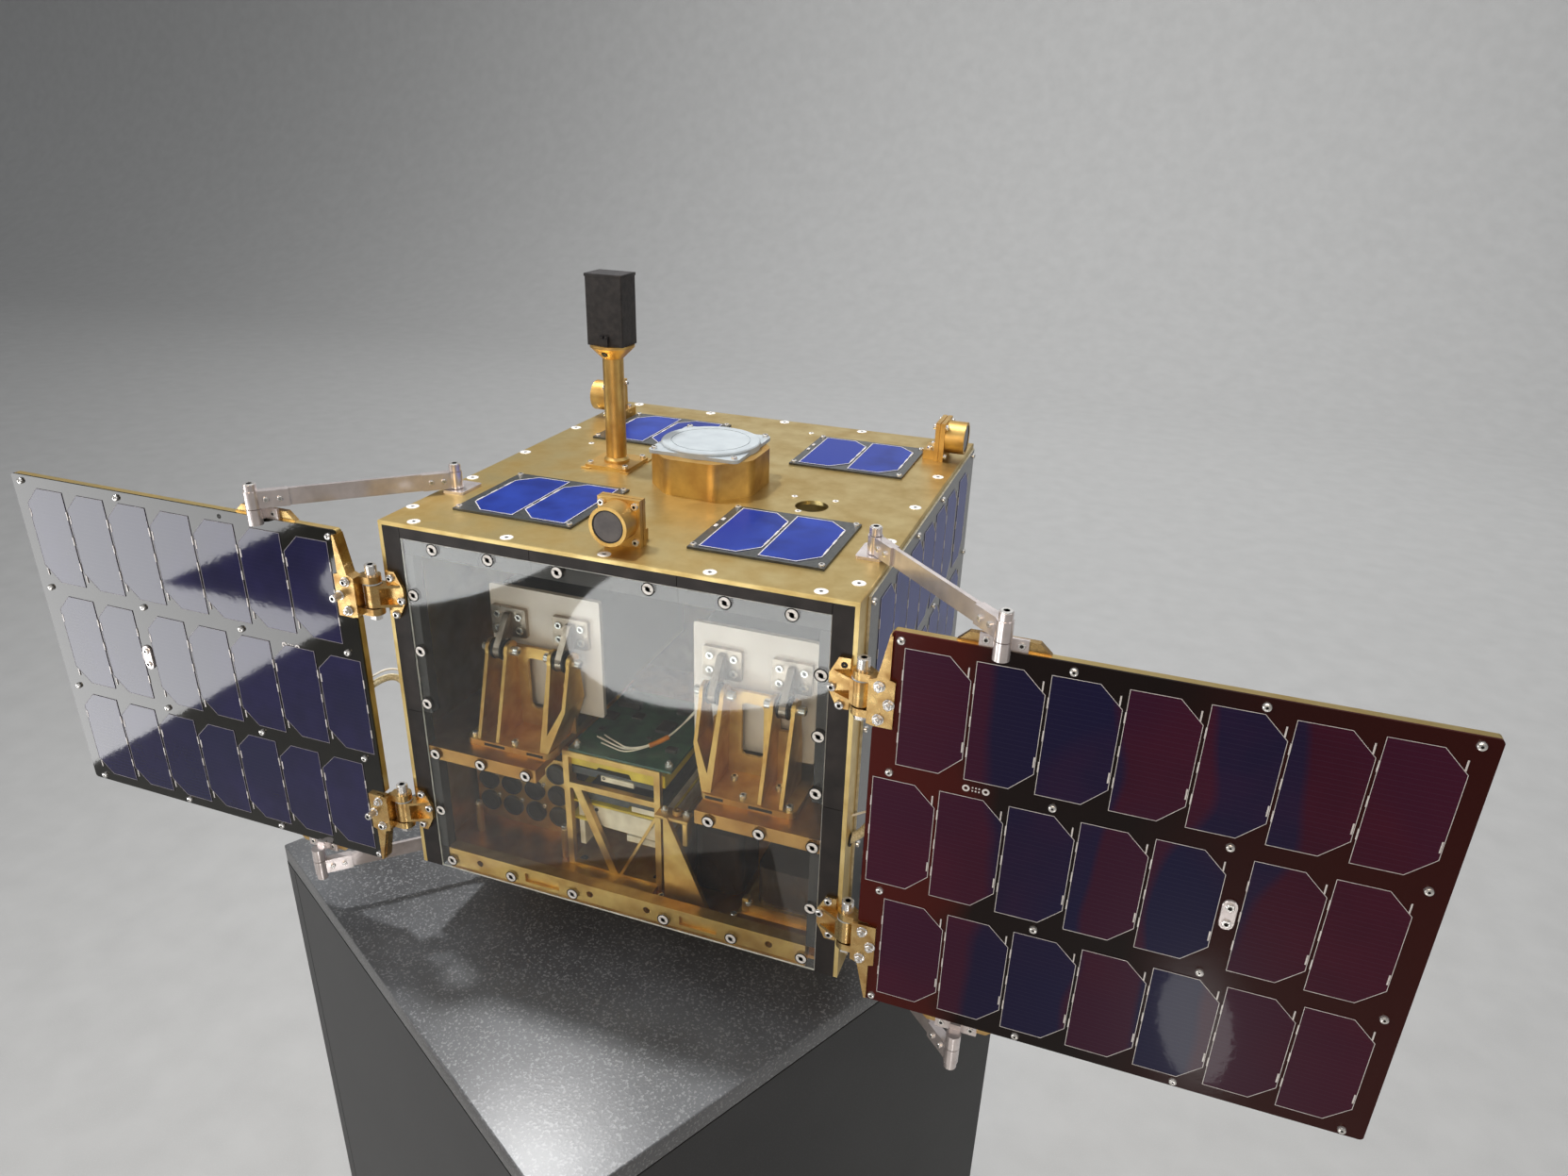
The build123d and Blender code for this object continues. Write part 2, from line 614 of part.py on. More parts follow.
# Card cage with its boards
CAGE_LEFT = -60.0
CAGE_RIGHT = 22.0
CAGE_FRONT = -146.0
CAGE_BACK = -50.0
CAGE_TOP = 114.0
cage_mid = (CAGE_LEFT + CAGE_RIGHT) / 2
cage_w = CAGE_RIGHT - CAGE_LEFT
CAGE_BAR = 5.0
CAGE_BRACES = [
    # top x, top z, foot x, foot z, width
    (CAGE_LEFT + 10, 80.0, cage_mid - 1, 9.0, 7.0),
    (CAGE_RIGHT - 3, 70.0, cage_mid + 5, 9.0, 2.4),
]
with BuildPart() as card_cage:
    with BuildSketch(Plane.XZ.offset(-CAGE_FRONT)):
        with Locations((cage_mid, BUS_Z + (WALL + CAGE_TOP) / 2)):
            Rectangle(cage_w, CAGE_TOP - WALL)
        with Locations((cage_mid, BUS_Z + (10 + 81) / 2)):
            Rectangle(cage_w - 2 * CAGE_BAR, 81 - 10, mode=Mode.SUBTRACT)
        with Locations((cage_mid, BUS_Z + (86 + 109) / 2)):
            Rectangle(cage_w - 2 * CAGE_BAR, 109 - 86, mode=Mode.SUBTRACT)
        for top_x, top_z, foot_x, foot_z, wide in CAGE_BRACES:
            with BuildLine():
                Polyline(
                    (top_x - wide / 2, BUS_Z + top_z + 4),
                    (foot_x - wide / 2, BUS_Z + foot_z),
                    (foot_x + wide / 2, BUS_Z + foot_z),
                    (top_x + wide / 2, BUS_Z + top_z + 4),
                    close=True,
                )
            make_face()
    extrude(amount=-5)
    with BuildSketch(plane_up(WALL)):
        with Locations((cage_mid, (CAGE_FRONT + CAGE_BACK) / 2)):
            Rectangle(cage_w, CAGE_BACK - CAGE_FRONT)
        with Locations((cage_mid - 4, CAGE_FRONT - 6)):
            Rectangle(cage_w, 12)
    extrude(amount=5)
    with BuildSketch(plane_up(WALL)):
        with Locations(
            (CAGE_LEFT + CAGE_BAR / 2, CAGE_BACK - 4),
            (CAGE_RIGHT - CAGE_BAR / 2, CAGE_BACK - 4),
        ):
            Rectangle(CAGE_BAR, 8)
    extrude(amount=CAGE_TOP - WALL)
save(card_cage, "card_cage")

CAGE_CARDS = [
    # z of the underside, thickness
    (44.0, 16.0),
    (63.0, 2.0),
    (69.0, 6.0),
    (90.0, 2.0),
    (95.0, 5.0),
    (103.0, 3.0),
]
with BuildPart() as cage_cards:
    for low, thick in CAGE_CARDS:
        with BuildSketch(plane_up(low)):
            with Locations((cage_mid, (CAGE_FRONT + 5.0 + CAGE_BACK - 8.0) / 2)):
                Rectangle(cage_w + 6, CAGE_BACK - CAGE_FRONT - 13.0)
        extrude(amount=thick)
save(cage_cards, "cage_cards")

with BuildPart() as main_board:
    with BuildSketch(plane_up(CAGE_TOP)):
        with Locations((-12, -96)):
            Rectangle(86, 98)
    extrude(amount=2.0)
save(main_board, "main_board")

# Battery pack
BATTERY_R = 9.2
BATTERY_FRONT = -112.0
BATTERY_COLUMNS = (-155.0, -133.0, -111.0, -89.0)
BATTERY_ROWS = (20.0, 41.0, 62.0)
BATTERY_SPOTS = [(x, z) for x in BATTERY_COLUMNS for z in BATTERY_ROWS]
with BuildPart() as battery_holder:
    with BuildSketch(Plane.XZ.offset(-BATTERY_FRONT - 2)):
        with Locations((-122, BUS_Z + 39)):
            Rectangle(92, 72)
        with Locations(*[(x, BUS_Z + z) for x, z in BATTERY_SPOTS]):
            Circle(BATTERY_R, mode=Mode.SUBTRACT)
    extrude(amount=-8)
save(battery_holder, "battery_holder")

with BuildPart() as battery_cells:
    with BuildSketch(Plane.XZ.offset(-BATTERY_FRONT)):
        with Locations(*[(x, BUS_Z + z) for x, z in BATTERY_SPOTS]):
            Circle(BATTERY_R)
    extrude(amount=-65)
save(battery_cells, "battery_cells")

# Reaction wheels and gold fittings on the floor
with BuildPart() as reaction_wheels:
    with BuildSketch(plane_up(20)) as wheel_front:
        with Locations((124, -126)):
            Rectangle(46, 46)
        fillet(wheel_front.vertices(), 8)
    extrude(amount=34)
    with BuildSketch(plane_up(WALL)) as wheel_rear:
        with Locations((61, -106)):
            Rectangle(40, 46)
        fillet(wheel_rear.vertices(), 8)
    extrude(amount=55)
save(reaction_wheels, "reaction_wheels")

with BuildPart() as floor_fittings:
    with BuildSketch(plane_up(WALL)):
        with Locations((120, -128)):
            Rectangle(62, 56)
    extrude(amount=10)
    with BuildSketch(plane_up(WALL + 10)):
        with Locations((122, -127)):
            Rectangle(56, 50)
    extrude(amount=7)
    with BuildSketch(Plane.XZ.offset(160)):
        with BuildLine():
            Polyline((31, BUS_Z + WALL), (69, BUS_Z + WALL), (67, BUS_Z + 8), (34, BUS_Z + 86), (31, BUS_Z + 86), close=True)
        make_face()
    extrude(amount=-4)
    with BuildSketch(plane_up(WALL)):
        with Locations((32.5, -120)):
            Rectangle(3, 72)
    extrude(amount=60)
    with BuildSketch(plane_up(WALL)):
        with Locations((-153, -131), (-70, -134)):
            Circle(3.2)
    extrude(amount=27)
save(floor_fittings, "floor_fittings")

# Brace feet on the bus, upper and lower, both sides: foot plate or block, pin and pin cap
FOOT_SPAN_X = 18.0
FOOT_SPAN_Y = 26.0
FOOT_SHIFT_X = 2.0
FOOT_SHIFT_Y = 4.0
CAP_CLEAR = 0.5
with BuildPart() as brace_feet:
    for side in (-1, 1):
        foot_x = side * BRACE_BUS_X
        foot_spot = (foot_x - side * FOOT_SHIFT_X, -BRACE_BUS_Y + FOOT_SHIFT_Y)
        for start, foot_out, brace_near, brace_far, up in (
            (BUS_HEIGHT, FOOT_PLATE, TOP_BRACE_Z, TOP_BRACE_Z + BRACE_TALL, 1),
            (0.0, LOW_FOOT, LOW_BRACE_Z + BRACE_TALL, LOW_BRACE_Z, -1),
        ):
            with BuildSketch(plane_up(start)) as foot_plate:
                with Locations(foot_spot):
                    Rectangle(FOOT_SPAN_X, FOOT_SPAN_Y)
                fillet(foot_plate.vertices(), 2)
            extrude(amount=up * foot_out)
            with BuildSketch(plane_up(start)):
                with Locations((foot_x, -BRACE_BUS_Y)):
                    Circle(PIN_R)
            extrude(amount=up * (abs(brace_far - start) + CAP_CLEAR))
            with BuildSketch(plane_up(brace_far + up * CAP_CLEAR)):
                with Locations((foot_x, -BRACE_BUS_Y)):
                    Circle(CAP_R)
            extrude(amount=up * CAP_TALL)
save(brace_feet, "brace_feet")

# Bus halves of the wing hinges: screwed plate, knuckle and the two flanges that taper out to it
BODY_PLATE = 2.8
BODY_PLATE_HALF = 18.0
BODY_PLATE_OUT = HALF_W - 3.0
BODY_PLATE_IN = HALF_W - 16.5
BODY_PLATE_SHOULDER = HALF_W - 10.5
FLANGE_THICK = 2.2
FLANGE_DEEP = 12.0
POCKET_OUT = HALF_W - 2.5
with BuildPart() as hinge_knuckles:
    for side in (-1, 1):
        for hinge_z in (UPPER_HINGE_Z, LOWER_HINGE_Z):
            with BuildSketch(Plane.XZ.offset(FRONT)):
                with BuildLine():
                    Polyline(
                        (side * BODY_PLATE_OUT, BUS_Z + hinge_z - BODY_PLATE_HALF),
                        (side * BODY_PLATE_OUT, BUS_Z + hinge_z + BODY_PLATE_HALF),
                        (side * BODY_PLATE_SHOULDER, BUS_Z + hinge_z + BODY_PLATE_HALF),
                        (side * BODY_PLATE_IN, BUS_Z + hinge_z + BODY_PLATE_HALF / 3),
                        (side * BODY_PLATE_IN, BUS_Z + hinge_z - BODY_PLATE_HALF / 3),
                        (side * BODY_PLATE_SHOULDER, BUS_Z + hinge_z - BODY_PLATE_HALF),
                        close=True,
                    )
                make_face()
            extrude(amount=BODY_PLATE)
            with BuildSketch(plane_up(hinge_z - KNUCKLE_HALF)):
                with Locations((side * PIN_X, -PIN_Y)):
                    Circle(KNUCKLE_R)
                with BuildLine():
                    Polyline(
                        (side * (BODY_PLATE_IN + 1.5), -FRONT - BODY_PLATE + 0.3),
                        (side * (HALF_W - 0.1), -FRONT),
                        (side * (PIN_X + 2.2), -PIN_Y + 6.0),
                        (side * (PIN_X - 1.5), -PIN_Y - 6.3),
                        close=True,
                    )
                make_face()
            extrude(amount=2 * KNUCKLE_HALF)
            with BuildSketch(plane_up(hinge_z - KNUCKLE_HALF + FLANGE_THICK)):
                with BuildLine():
                    Polyline(
                        (side * BODY_PLATE_IN, -FRONT - BODY_PLATE),
                        (side * POCKET_OUT, -FRONT - BODY_PLATE),
                        (side * (POCKET_OUT + 1.7), -FRONT - FLANGE_DEEP),
                        (side * BODY_PLATE_IN, -FRONT - FLANGE_DEEP),
                        close=True,
                    )
                make_face()
            extrude(amount=2 * (KNUCKLE_HALF - FLANGE_THICK), mode=Mode.SUBTRACT)
            with BuildSketch(plane_up(hinge_z - KNUCKLE_HALF)):
                with Locations((side * PIN_X, -PIN_Y)):
                    Circle(PIN_R + 0.15)
            extrude(amount=2 * KNUCKLE_HALF, mode=Mode.SUBTRACT)
save(hinge_knuckles, "hinge_knuckles")

# Wings
WING_ROWS = [
    # first cell's inner edge from the tab edge, top from the wing's top edge, gap after the fifth cell
    (16.4, 9.4, 0.0),
    (2.9, 101.4, 10.4),
    (16.4, 193.2, 0.0),
]
lug_low = KNUCKLE_HALF + LUG_GAP
lug_high = lug_low + LUG_THICK


def wing_outline(side):
    """Corner points of a wing with its tab between the hinges."""
    points = [
        (side * WING_EDGE_X, BUS_Z + WING_LOW),
        (side * WING_OUTER_X, BUS_Z + WING_LOW),
        (side * WING_OUTER_X, BUS_Z + WING_HIGH),
        (side * WING_EDGE_X, BUS_Z + WING_HIGH),
        (side * WING_EDGE_X, BUS_Z + TAB_HIGH),
        (side * WING_TAB_X, BUS_Z + TAB_HIGH),
        (side * WING_TAB_X, BUS_Z + TAB_LOW),
        (side * WING_EDGE_X, BUS_Z + TAB_LOW),
    ]
    return points if side > 0 else points[::-1]


for side, word in ((-1, "left"), (1, "right")):
    with BuildPart() as wing_panel:
        with BuildSketch(Plane.XZ.offset(WING_BACK)) as core_face:
            Polygon(*wing_outline(side), align=None)
            fillet(core_face.vertices(), 2.5)
        extrude(amount=WING_CORE)
    save(wing_panel, "wing_" + word + "_panel")

    with BuildPart() as wing_board:
        with BuildSketch(Plane.XZ.offset(WING_BACK + WING_CORE)) as board_face:
            Polygon(*wing_outline(side), align=None)
            fillet(board_face.vertices(), 2.5)
        extrude(amount=WING_BOARD)
    save(wing_board, "wing_" + word + "_board")

    with BuildPart() as wing_cells:
        with BuildSketch(Plane.XZ.offset(WING_FRONT)):
            for first, top, gap in WING_ROWS:
                for column in range(7):
                    shift = first + column * CELL_PITCH + (gap if column >= 5 else 0)
                    cell_x = side * (WING_TAB_X + shift + CELL_W / 2)
                    Polygon(*cell_outline(cell_x, BUS_Z + WING_HIGH - top - CELL_H / 2, side), align=None)
        extrude(amount=CELL_THICK)
    save(wing_cells, "wing_" + word + "_cells")

    with BuildPart() as wing_brackets:
        for hinge_z, up in ((UPPER_HINGE_Z, 1), (LOWER_HINGE_Z, -1)):
            for lug_z in (hinge_z + lug_low, hinge_z - lug_high):
                with BuildSketch(plane_up(lug_z)):
                    with Locations((side * PIN_X, -PIN_Y)):
                        Circle(KNUCKLE_R)
                    with BuildLine():
                        Polyline(
                            (side * PIN_X, -PIN_Y - KNUCKLE_R),
                            (side * (WING_TAB_X - 1.0), -PIN_Y - KNUCKLE_R),
                            (side * (WING_TAB_X - 1.0), -PIN_Y + 1.5),
                            (side * (PIN_X + 4), -PIN_Y + LUG_REAR),
                            (side * PIN_X, -PIN_Y + LUG_REAR),
                            close=True,
                        )
                    make_face()
                extrude(amount=LUG_THICK)
            with BuildSketch(Plane.XZ.offset(WING_FRONT)):
                with BuildLine():
                    Polyline(
                        (side * (WING_TAB_X + 0.5), BUS_Z + hinge_z - up * 16),
                        (side * (WING_TAB_X + 13), BUS_Z + hinge_z - up * 16),
                        (side * (WING_TAB_X + 13), BUS_Z + hinge_z + up * 16),
                        (side * (WING_TAB_X + 9.5), BUS_Z + hinge_z + up * 17),
                        (side * (WING_TAB_X + 9.5), BUS_Z + hinge_z + up * 46),
                        (side * (WING_TAB_X + 8), BUS_Z + hinge_z + up * 46),
                        (side * (WING_TAB_X + 1.5), BUS_Z + hinge_z + up * 17),
                        (side * (WING_TAB_X - 3.5), BUS_Z + hinge_z + up * lug_high),
                        (side * (WING_TAB_X - 3.5), BUS_Z + hinge_z - up * lug_high),
                        close=True,
                    )
                make_face()
            extrude(amount=HINGE_PLATE)
            with BuildSketch(Plane.XZ.offset(WING_BACK)):
                with BuildLine():
                    Polyline(
                        (side * (WING_EDGE_X - 0.05), BUS_Z + hinge_z - up * 13),
                        (side * (WING_EDGE_X - 0.05), BUS_Z + hinge_z + up * 46),
                        (side * (WING_TAB_X + 7.3), BUS_Z + hinge_z + up * 46),
                        (side * (WING_TAB_X + 1.5), BUS_Z + hinge_z + up * 17),
                        (side * (WING_TAB_X - 3.5), BUS_Z + hinge_z + up * lug_high),
                        (side * (WING_TAB_X - 3.5), BUS_Z + hinge_z - up * lug_high),
                        (side * (WING_TAB_X - 0.05), BUS_Z + hinge_z - up * lug_high),
                        (side * (WING_TAB_X - 0.05), BUS_Z + hinge_z - up * 13),
                        close=True,
                    )
                make_face()
            extrude(amount=WING_FRONT - WING_BACK)
            for lug_z in (hinge_z + lug_low, hinge_z - lug_high):
                with BuildSketch(plane_up(lug_z)):
                    with Locations((side * PIN_X, -PIN_Y)):
                        Circle(PIN_R)
                extrude(amount=LUG_THICK, mode=Mode.SUBTRACT)
        for edge_z, up in ((WING_HIGH, 1), (WING_LOW, -1)):
            with BuildSketch(Plane.XZ.offset(188.2)):
                with BuildLine():
                    Polyline(
                        (side * (BRACE_WING_X - 27), BUS_Z + edge_z),
                        (side * (BRACE_WING_X + 27), BUS_Z + edge_z),
                        (side * (BRACE_WING_X + 20), BUS_Z + edge_z + up * 6.5),
                        (side * (BRACE_WING_X - 20), BUS_Z + edge_z + up * 6.5),
                        close=True,
                    )
                make_face()
            extrude(amount=4.3)
    save(wing_brackets, "wing_" + word + "_brackets")

    with BuildPart() as wing_knuckles:
        for low, high, edge_z, up in (
            (WING_HIGH - 3.0, TOP_BRACE_Z - BRACE_CLEAR, WING_HIGH, 1),
            (LOW_BRACE_Z + BRACE_TALL + BRACE_CLEAR, WING_LOW - 3.9, WING_LOW, -1),
        ):
            with BuildSketch(plane_up(low)):
                with Locations((side * BRACE_WING_X, -BRACE_WING_Y)):
                    Circle(BRACE_R)
            extrude(amount=high - low)
            with BuildSketch(Plane.XZ.offset(192.5)):
                with Locations((side * BRACE_WING_X, BUS_Z + edge_z + up * 4)):
                    Rectangle(28, 8)
            extrude(amount=2)
            with BuildSketch(Plane.XZ.offset(192.5)):
                with Locations((side * BRACE_WING_X, BUS_Z + edge_z + up * 4)):
                    Rectangle(7, 8)
            extrude(amount=5)
    save(wing_knuckles, "wing_" + word + "_knuckles")

    with BuildPart() as hinge_pins:
        for hinge_z in (UPPER_HINGE_Z, LOWER_HINGE_Z):
            with BuildSketch(plane_up(hinge_z - lug_high - 5)):
                with Locations((side * PIN_X, -PIN_Y)):
                    Circle(PIN_R)
            extrude(amount=2 * lug_high + 5)
            with BuildSketch(plane_up(hinge_z + lug_high)):
                with Locations((side * PIN_X, -PIN_Y)):
                    Circle(CAP_R)
            extrude(amount=CAP_TALL)
            with BuildSketch(plane_up(hinge_z - lug_high - 4)):
                with Locations((side * PIN_X, -PIN_Y)):
                    RegularPolygon(4.0, 6, major_radius=False)
            extrude(amount=4)
    save(hinge_pins, "wing_" + word + "_pins")

    with BuildPart() as wing_harness:
        wing_z, bus_z, loop_r = HARNESS_SIDES[side]
        loop_start = (side * HARNESS_X, -WING_BACK, BUS_Z + wing_z)
        with BuildLine() as loop_line:
            FilletPolyline(
                loop_start,
                (side * HARNESS_X, -HARNESS_Y, BUS_Z + wing_z),
                (side * (HALF_W + loop_r), -HARNESS_Y, BUS_Z + bus_z),
                (side * HALF_W, -HARNESS_Y, BUS_Z + bus_z),
                radius=HARNESS_BEND / 2,
            )
        with BuildSketch(Plane(origin=loop_start, z_dir=loop_line.line % 0)):
            Circle(loop_r)
        sweep()
    save(wing_harness, "harness_" + word)

    brace_angle = math.degrees(
        math.atan2(-(BRACE_WING_Y - BRACE_BUS_Y), side * (BRACE_WING_X - BRACE_BUS_X))
    )
    brace_long = math.hypot(BRACE_WING_Y - BRACE_BUS_Y, BRACE_WING_X - BRACE_BUS_X)
    for level, brace_z in (("upper", TOP_BRACE_Z), ("lower", LOW_BRACE_Z)):
        brace_plane = Plane(
            origin=(side * BRACE_BUS_X, -BRACE_BUS_Y, BUS_Z + brace_z),
            x_dir=(math.cos(math.radians(brace_angle)), math.sin(math.radians(brace_angle)), 0),
            z_dir=(0, 0, 1),
        )
        with BuildPart() as brace:
            with BuildSketch(brace_plane):
                with Locations((brace_long / 2, 0)):
                    Rectangle(brace_long, BRACE_BAR)
                with Locations((14, 0), (brace_long - 14, 0)):
                    Rectangle(20, 6.5)
                with Locations((0, 0), (brace_long, 0)):
                    Circle(BRACE_R)
                Circle(BRACE_BORE_R, mode=Mode.SUBTRACT)
            extrude(amount=BRACE_TALL)
            cap_z = BRACE_TALL if level == "upper" else 0.0
            cap_out = CAP_TALL if level == "upper" else -CAP_TALL
            with BuildSketch(brace_plane.offset(cap_z)):
                with Locations((brace_long, 0)):
                    Circle(CAP_R)
            extrude(amount=cap_out)
        save(brace, "brace_" + word + "_" + level)
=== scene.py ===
"""Looks of a small satellite on its exhibition plinth.

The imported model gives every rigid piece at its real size. This script dresses those pieces with
procedural finishes and adds what is fitted last: screws, washers, cell outlines, wires, cards and tape.
Lengths in the tables are millimetres in the bus frame: X to the right, Y to the back and Z up from
the underside of the bus, with the origin below the middle of the bus.
"""

import logging
import math
from collections.abc import Callable, Iterable
from dataclasses import dataclass
from enum import Enum
from functools import partial
from itertools import product
from typing import ClassVar

import bpy
from bpy.types import Material, MeshPolygon, Node, NodeSocket, Object
from mathutils import Matrix, Vector


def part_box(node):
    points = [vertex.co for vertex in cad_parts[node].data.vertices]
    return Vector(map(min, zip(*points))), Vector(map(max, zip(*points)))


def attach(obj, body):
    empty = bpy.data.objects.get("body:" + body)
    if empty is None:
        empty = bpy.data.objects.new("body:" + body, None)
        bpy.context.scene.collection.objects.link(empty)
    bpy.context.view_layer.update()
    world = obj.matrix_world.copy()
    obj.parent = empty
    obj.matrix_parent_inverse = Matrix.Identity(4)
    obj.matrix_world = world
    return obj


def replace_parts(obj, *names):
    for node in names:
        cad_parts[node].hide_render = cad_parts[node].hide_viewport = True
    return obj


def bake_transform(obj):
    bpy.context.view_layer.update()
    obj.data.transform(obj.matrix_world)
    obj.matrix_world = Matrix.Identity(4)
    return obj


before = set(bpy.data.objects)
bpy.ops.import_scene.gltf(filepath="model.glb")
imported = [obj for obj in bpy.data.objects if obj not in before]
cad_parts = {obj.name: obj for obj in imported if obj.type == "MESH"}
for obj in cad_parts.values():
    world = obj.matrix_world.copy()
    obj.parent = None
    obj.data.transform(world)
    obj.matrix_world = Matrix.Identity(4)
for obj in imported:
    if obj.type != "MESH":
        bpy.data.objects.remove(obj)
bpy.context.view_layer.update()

logging.basicConfig(level=logging.INFO, format="%(message)s")
LOG = logging.getLogger("satellite")

MM = 0.001
BUS = "satellite"
BUS_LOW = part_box("side_walls")[0].z
BUS_TOP = (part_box("top_plate")[1].z - BUS_LOW) / MM
PANEL_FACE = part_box("clear_panel")[0].y / MM
REAR_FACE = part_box("rear_wall")[1].y / MM
WING_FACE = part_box("wing_right_board")[0].y / MM
WING_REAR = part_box("wing_right_panel")[1].y / MM
CELL_W = 40.15
CELL_H = 80.15
CELL_CROP = 13.5
CELL_PITCH = 42.05
COLUMNS = 7
ROUND_DEG = 60.0
HAIR = 1e-6
SIGNS = (-1, 1)

Color = tuple[float, float, float, float]
XY = tuple[float, float]
XYZ = tuple[float, float, float]
Stops = tuple[tuple[float, str], ...]
Place = tuple[Vector, Vector]
AddNode = Callable[..., Node]
Source = Node | NodeSocket


class Option(Enum):
    """An option that the names of nodes and pieces spell out."""

    @property
    def word(self) -> str:
        """The option's name in small letters."""
        return self.name.lower()


class Side(Option):
    """The two wings, seen from the front."""

    LEFT = -1
    RIGHT = 1


class Level(Option):
    """The upper and the lower one of the hinges and braces."""

    UPPER = 1
    LOWER = -1


class Facing(Enum):
    """The directions that screws and cells face."""

    UP = (0.0, 0.0, 1.0)
    DOWN = (0.0, 0.0, -1.0)
    FRONT = (0.0, -1.0, 0.0)
    BACK = (0.0, 1.0, 0.0)
    RIGHT = (1.0, 0.0, 0.0)

    @property
    def vector(self) -> Vector:
        """The direction as a vector."""
        return Vector(self.value)


def at(x: float, y: float, z: float) -> Vector:
    """A bus frame point, given in millimetres, as metres in the row frame."""
    return Vector((x * MM, y * MM, z * MM + BUS_LOW))


def facing(way: Facing, points: Iterable[XYZ]) -> list[Place]:
    """Places at bus frame points that all face one way."""
    return [(at(*point), way.vector) for point in points]


@dataclass(frozen=True)
class Spot:
    """A place on the bus, turned about the upright. Millimetres and degrees."""

    x: float
    y: float
    z: float
    turn: float = 0.0

    def way(self, x: float, y: float, z: float = 0.0) -> Vector:
        """A local direction in the row frame."""
        cos, sin = math.cos(math.radians(self.turn)), math.sin(math.radians(self.turn))
        return Vector((cos * x - sin * y, sin * x + cos * y, z))

    def point(self, x: float, y: float, z: float) -> Vector:
        """A local point, given in millimetres, as metres in the row frame."""
        return at(self.x, self.y, self.z) + self.way(x, y, z) * MM


# Finishes


def linear(colour: str) -> Color:
    """Turns an sRGB hex colour into the linear values that shaders take.

    Args:
        colour: six hex digits after a number sign.

    Returns:
        Red, green, blue and an opaque alpha.
    """
    channels = [int(colour[i : i + 2], 16) / 255 for i in (1, 3, 5)]
    curve = [c / 12.92 if c <= 0.04045 else ((c + 0.055) / 1.055) ** 2.4 for c in channels]
    return (curve[0], curve[1], curve[2], 1.0)


def per_mm(size_mm: float) -> float:
    """The pattern scale whose period is a real size."""
    return 1 / (size_mm * MM)


def add_node(
    material: Material,
    kind: str,
    inputs: dict[str | int, object] | None = None,
    settings: dict[str, object] | None = None,
    stops: Stops = (),
) -> Node:
    """Adds a node with its settings and links.

    Args:
        material: the material whose tree gets the node.
        kind: the node's type name, after its ShaderNode.
        inputs: for each input a value, an output socket, or a node that gives its first output.
        settings: values of the node's own properties.
        stops: positions and sRGB hex colours of a colour ramp.

    Returns:
        The new node.
    """
    tree = material.node_tree
    node = tree.nodes.new(f"ShaderNode{kind}")
    for key, value in (settings or {}).items():
        setattr(node, key, value)
    for key, value in (inputs or {}).items():
        source = value.outputs[0] if isinstance(value, Node) else value
        if isinstance(source, NodeSocket):
            tree.links.new(source, node.inputs[key])
        else:
            node.inputs[key].default_value = source
    for index, (position, colour) in enumerate(stops):
        elements = node.color_ramp.elements
        element = elements[index] if index < len(elements) else elements.new(position)
        element.position = position
        element.color = linear(colour)
    return node


@dataclass(frozen=True)
class Finish:
    """A procedural finish whose patterns are tied to real sizes."""

    name: str

    def build(self) -> Material:
        """Makes the material.

        Returns:
            The material, with the surface that the finish describes.
        """
        material = bpy.data.materials.new(self.name)
        material.use_nodes = True
        material.node_tree.nodes.clear()
        add = partial(add_node, material)
        place = add("TexCoord").outputs["Object"]
        add("OutputMaterial", {"Surface": self.surface(add, place)})
        return material

    def surface(self, add: AddNode, place: NodeSocket) -> Node:
        """Adds the nodes of the surface at a place and gives its shader."""
        raise NotImplementedError

    def relief(
        self, add: AddNode, place: Source, size_mm: float, depth_mm: float, strength: float, detail: float
    ) -> Node:
        """Adds bumps of a real size and depth, which make a grain or the waves of a glass."""
        noise = add("TexNoise", {"Vector": place, "Scale": per_mm(size_mm), "Detail": detail})
        return add("Bump", {"Height": noise, "Strength": strength, "Distance": depth_mm * MM})

    def banded(self, add: AddNode, place: NodeSocket, noise: Node, span_mm: XY, stops: Stops) -> Node:
        """Adds bands of colour along X, a painted reflection, whose edges wander by up to 60 mm.

        Args:
            add: adds a node to the material.
            place: the point on the object.
            noise: what makes the edges wander.
            span_mm: where the first and the last stop lie.
            stops: the colours, by their share of the span.

        Returns:
            The node that gives the colour.
        """
        along = add("SeparateXYZ", {"Vector": place})
        moved = add("Math", {0: noise, 1: 60 * MM, 2: along}, {"operation": "MULTIPLY_ADD"})
        low, high = span_mm
        share = add("MapRange", {"Value": moved, "From Min": low * MM, "From Max": high * MM})
        return add("ValToRGB", {"Fac": share}, stops=stops)


@dataclass(frozen=True)
class MetalFinish(Finish):
    """Metal, bare or coated: cloudy patches of two tones over a fine machining grain."""

    light: str
    dark: str
    roughness: float
    patch_mm: float
    grain_mm: float = 0.5
    grain_stretch: XYZ = (1.0, 1.0, 1.0)
    grain_depth: float = 0.05
    metallic: float = 1.0
    wear: float = 0.05

    def surface(self, add: AddNode, place: NodeSocket) -> Node:
        """Adds the metal: its lighter patches are also a little smoother.

        Args:
            add: adds a node to the material.
            place: the point on the object.

        Returns:
            The shader.
        """
        patches = add("TexNoise", {"Vector": place, "Scale": per_mm(self.patch_mm), "Detail": 6.0})
        colour = add("ValToRGB", {"Fac": patches}, stops=((0.31, self.dark), (0.69, self.light)))
        along = add("Mapping", {"Vector": place, "Scale": self.grain_stretch})
        bump = self.relief(add, along, self.grain_mm, 0.2, self.grain_depth, 2.0)
        worn = {"To Min": self.roughness + self.wear, "To Max": self.roughness - self.wear}
        rough = add("MapRange", {"Value": patches, "From Min": 0.3, "From Max": 0.7, **worn})
        sockets = {"Base Color": colour, "Metallic": self.metallic, "Roughness": rough, "Normal": bump}
        return add("BsdfPrincipled", sockets)


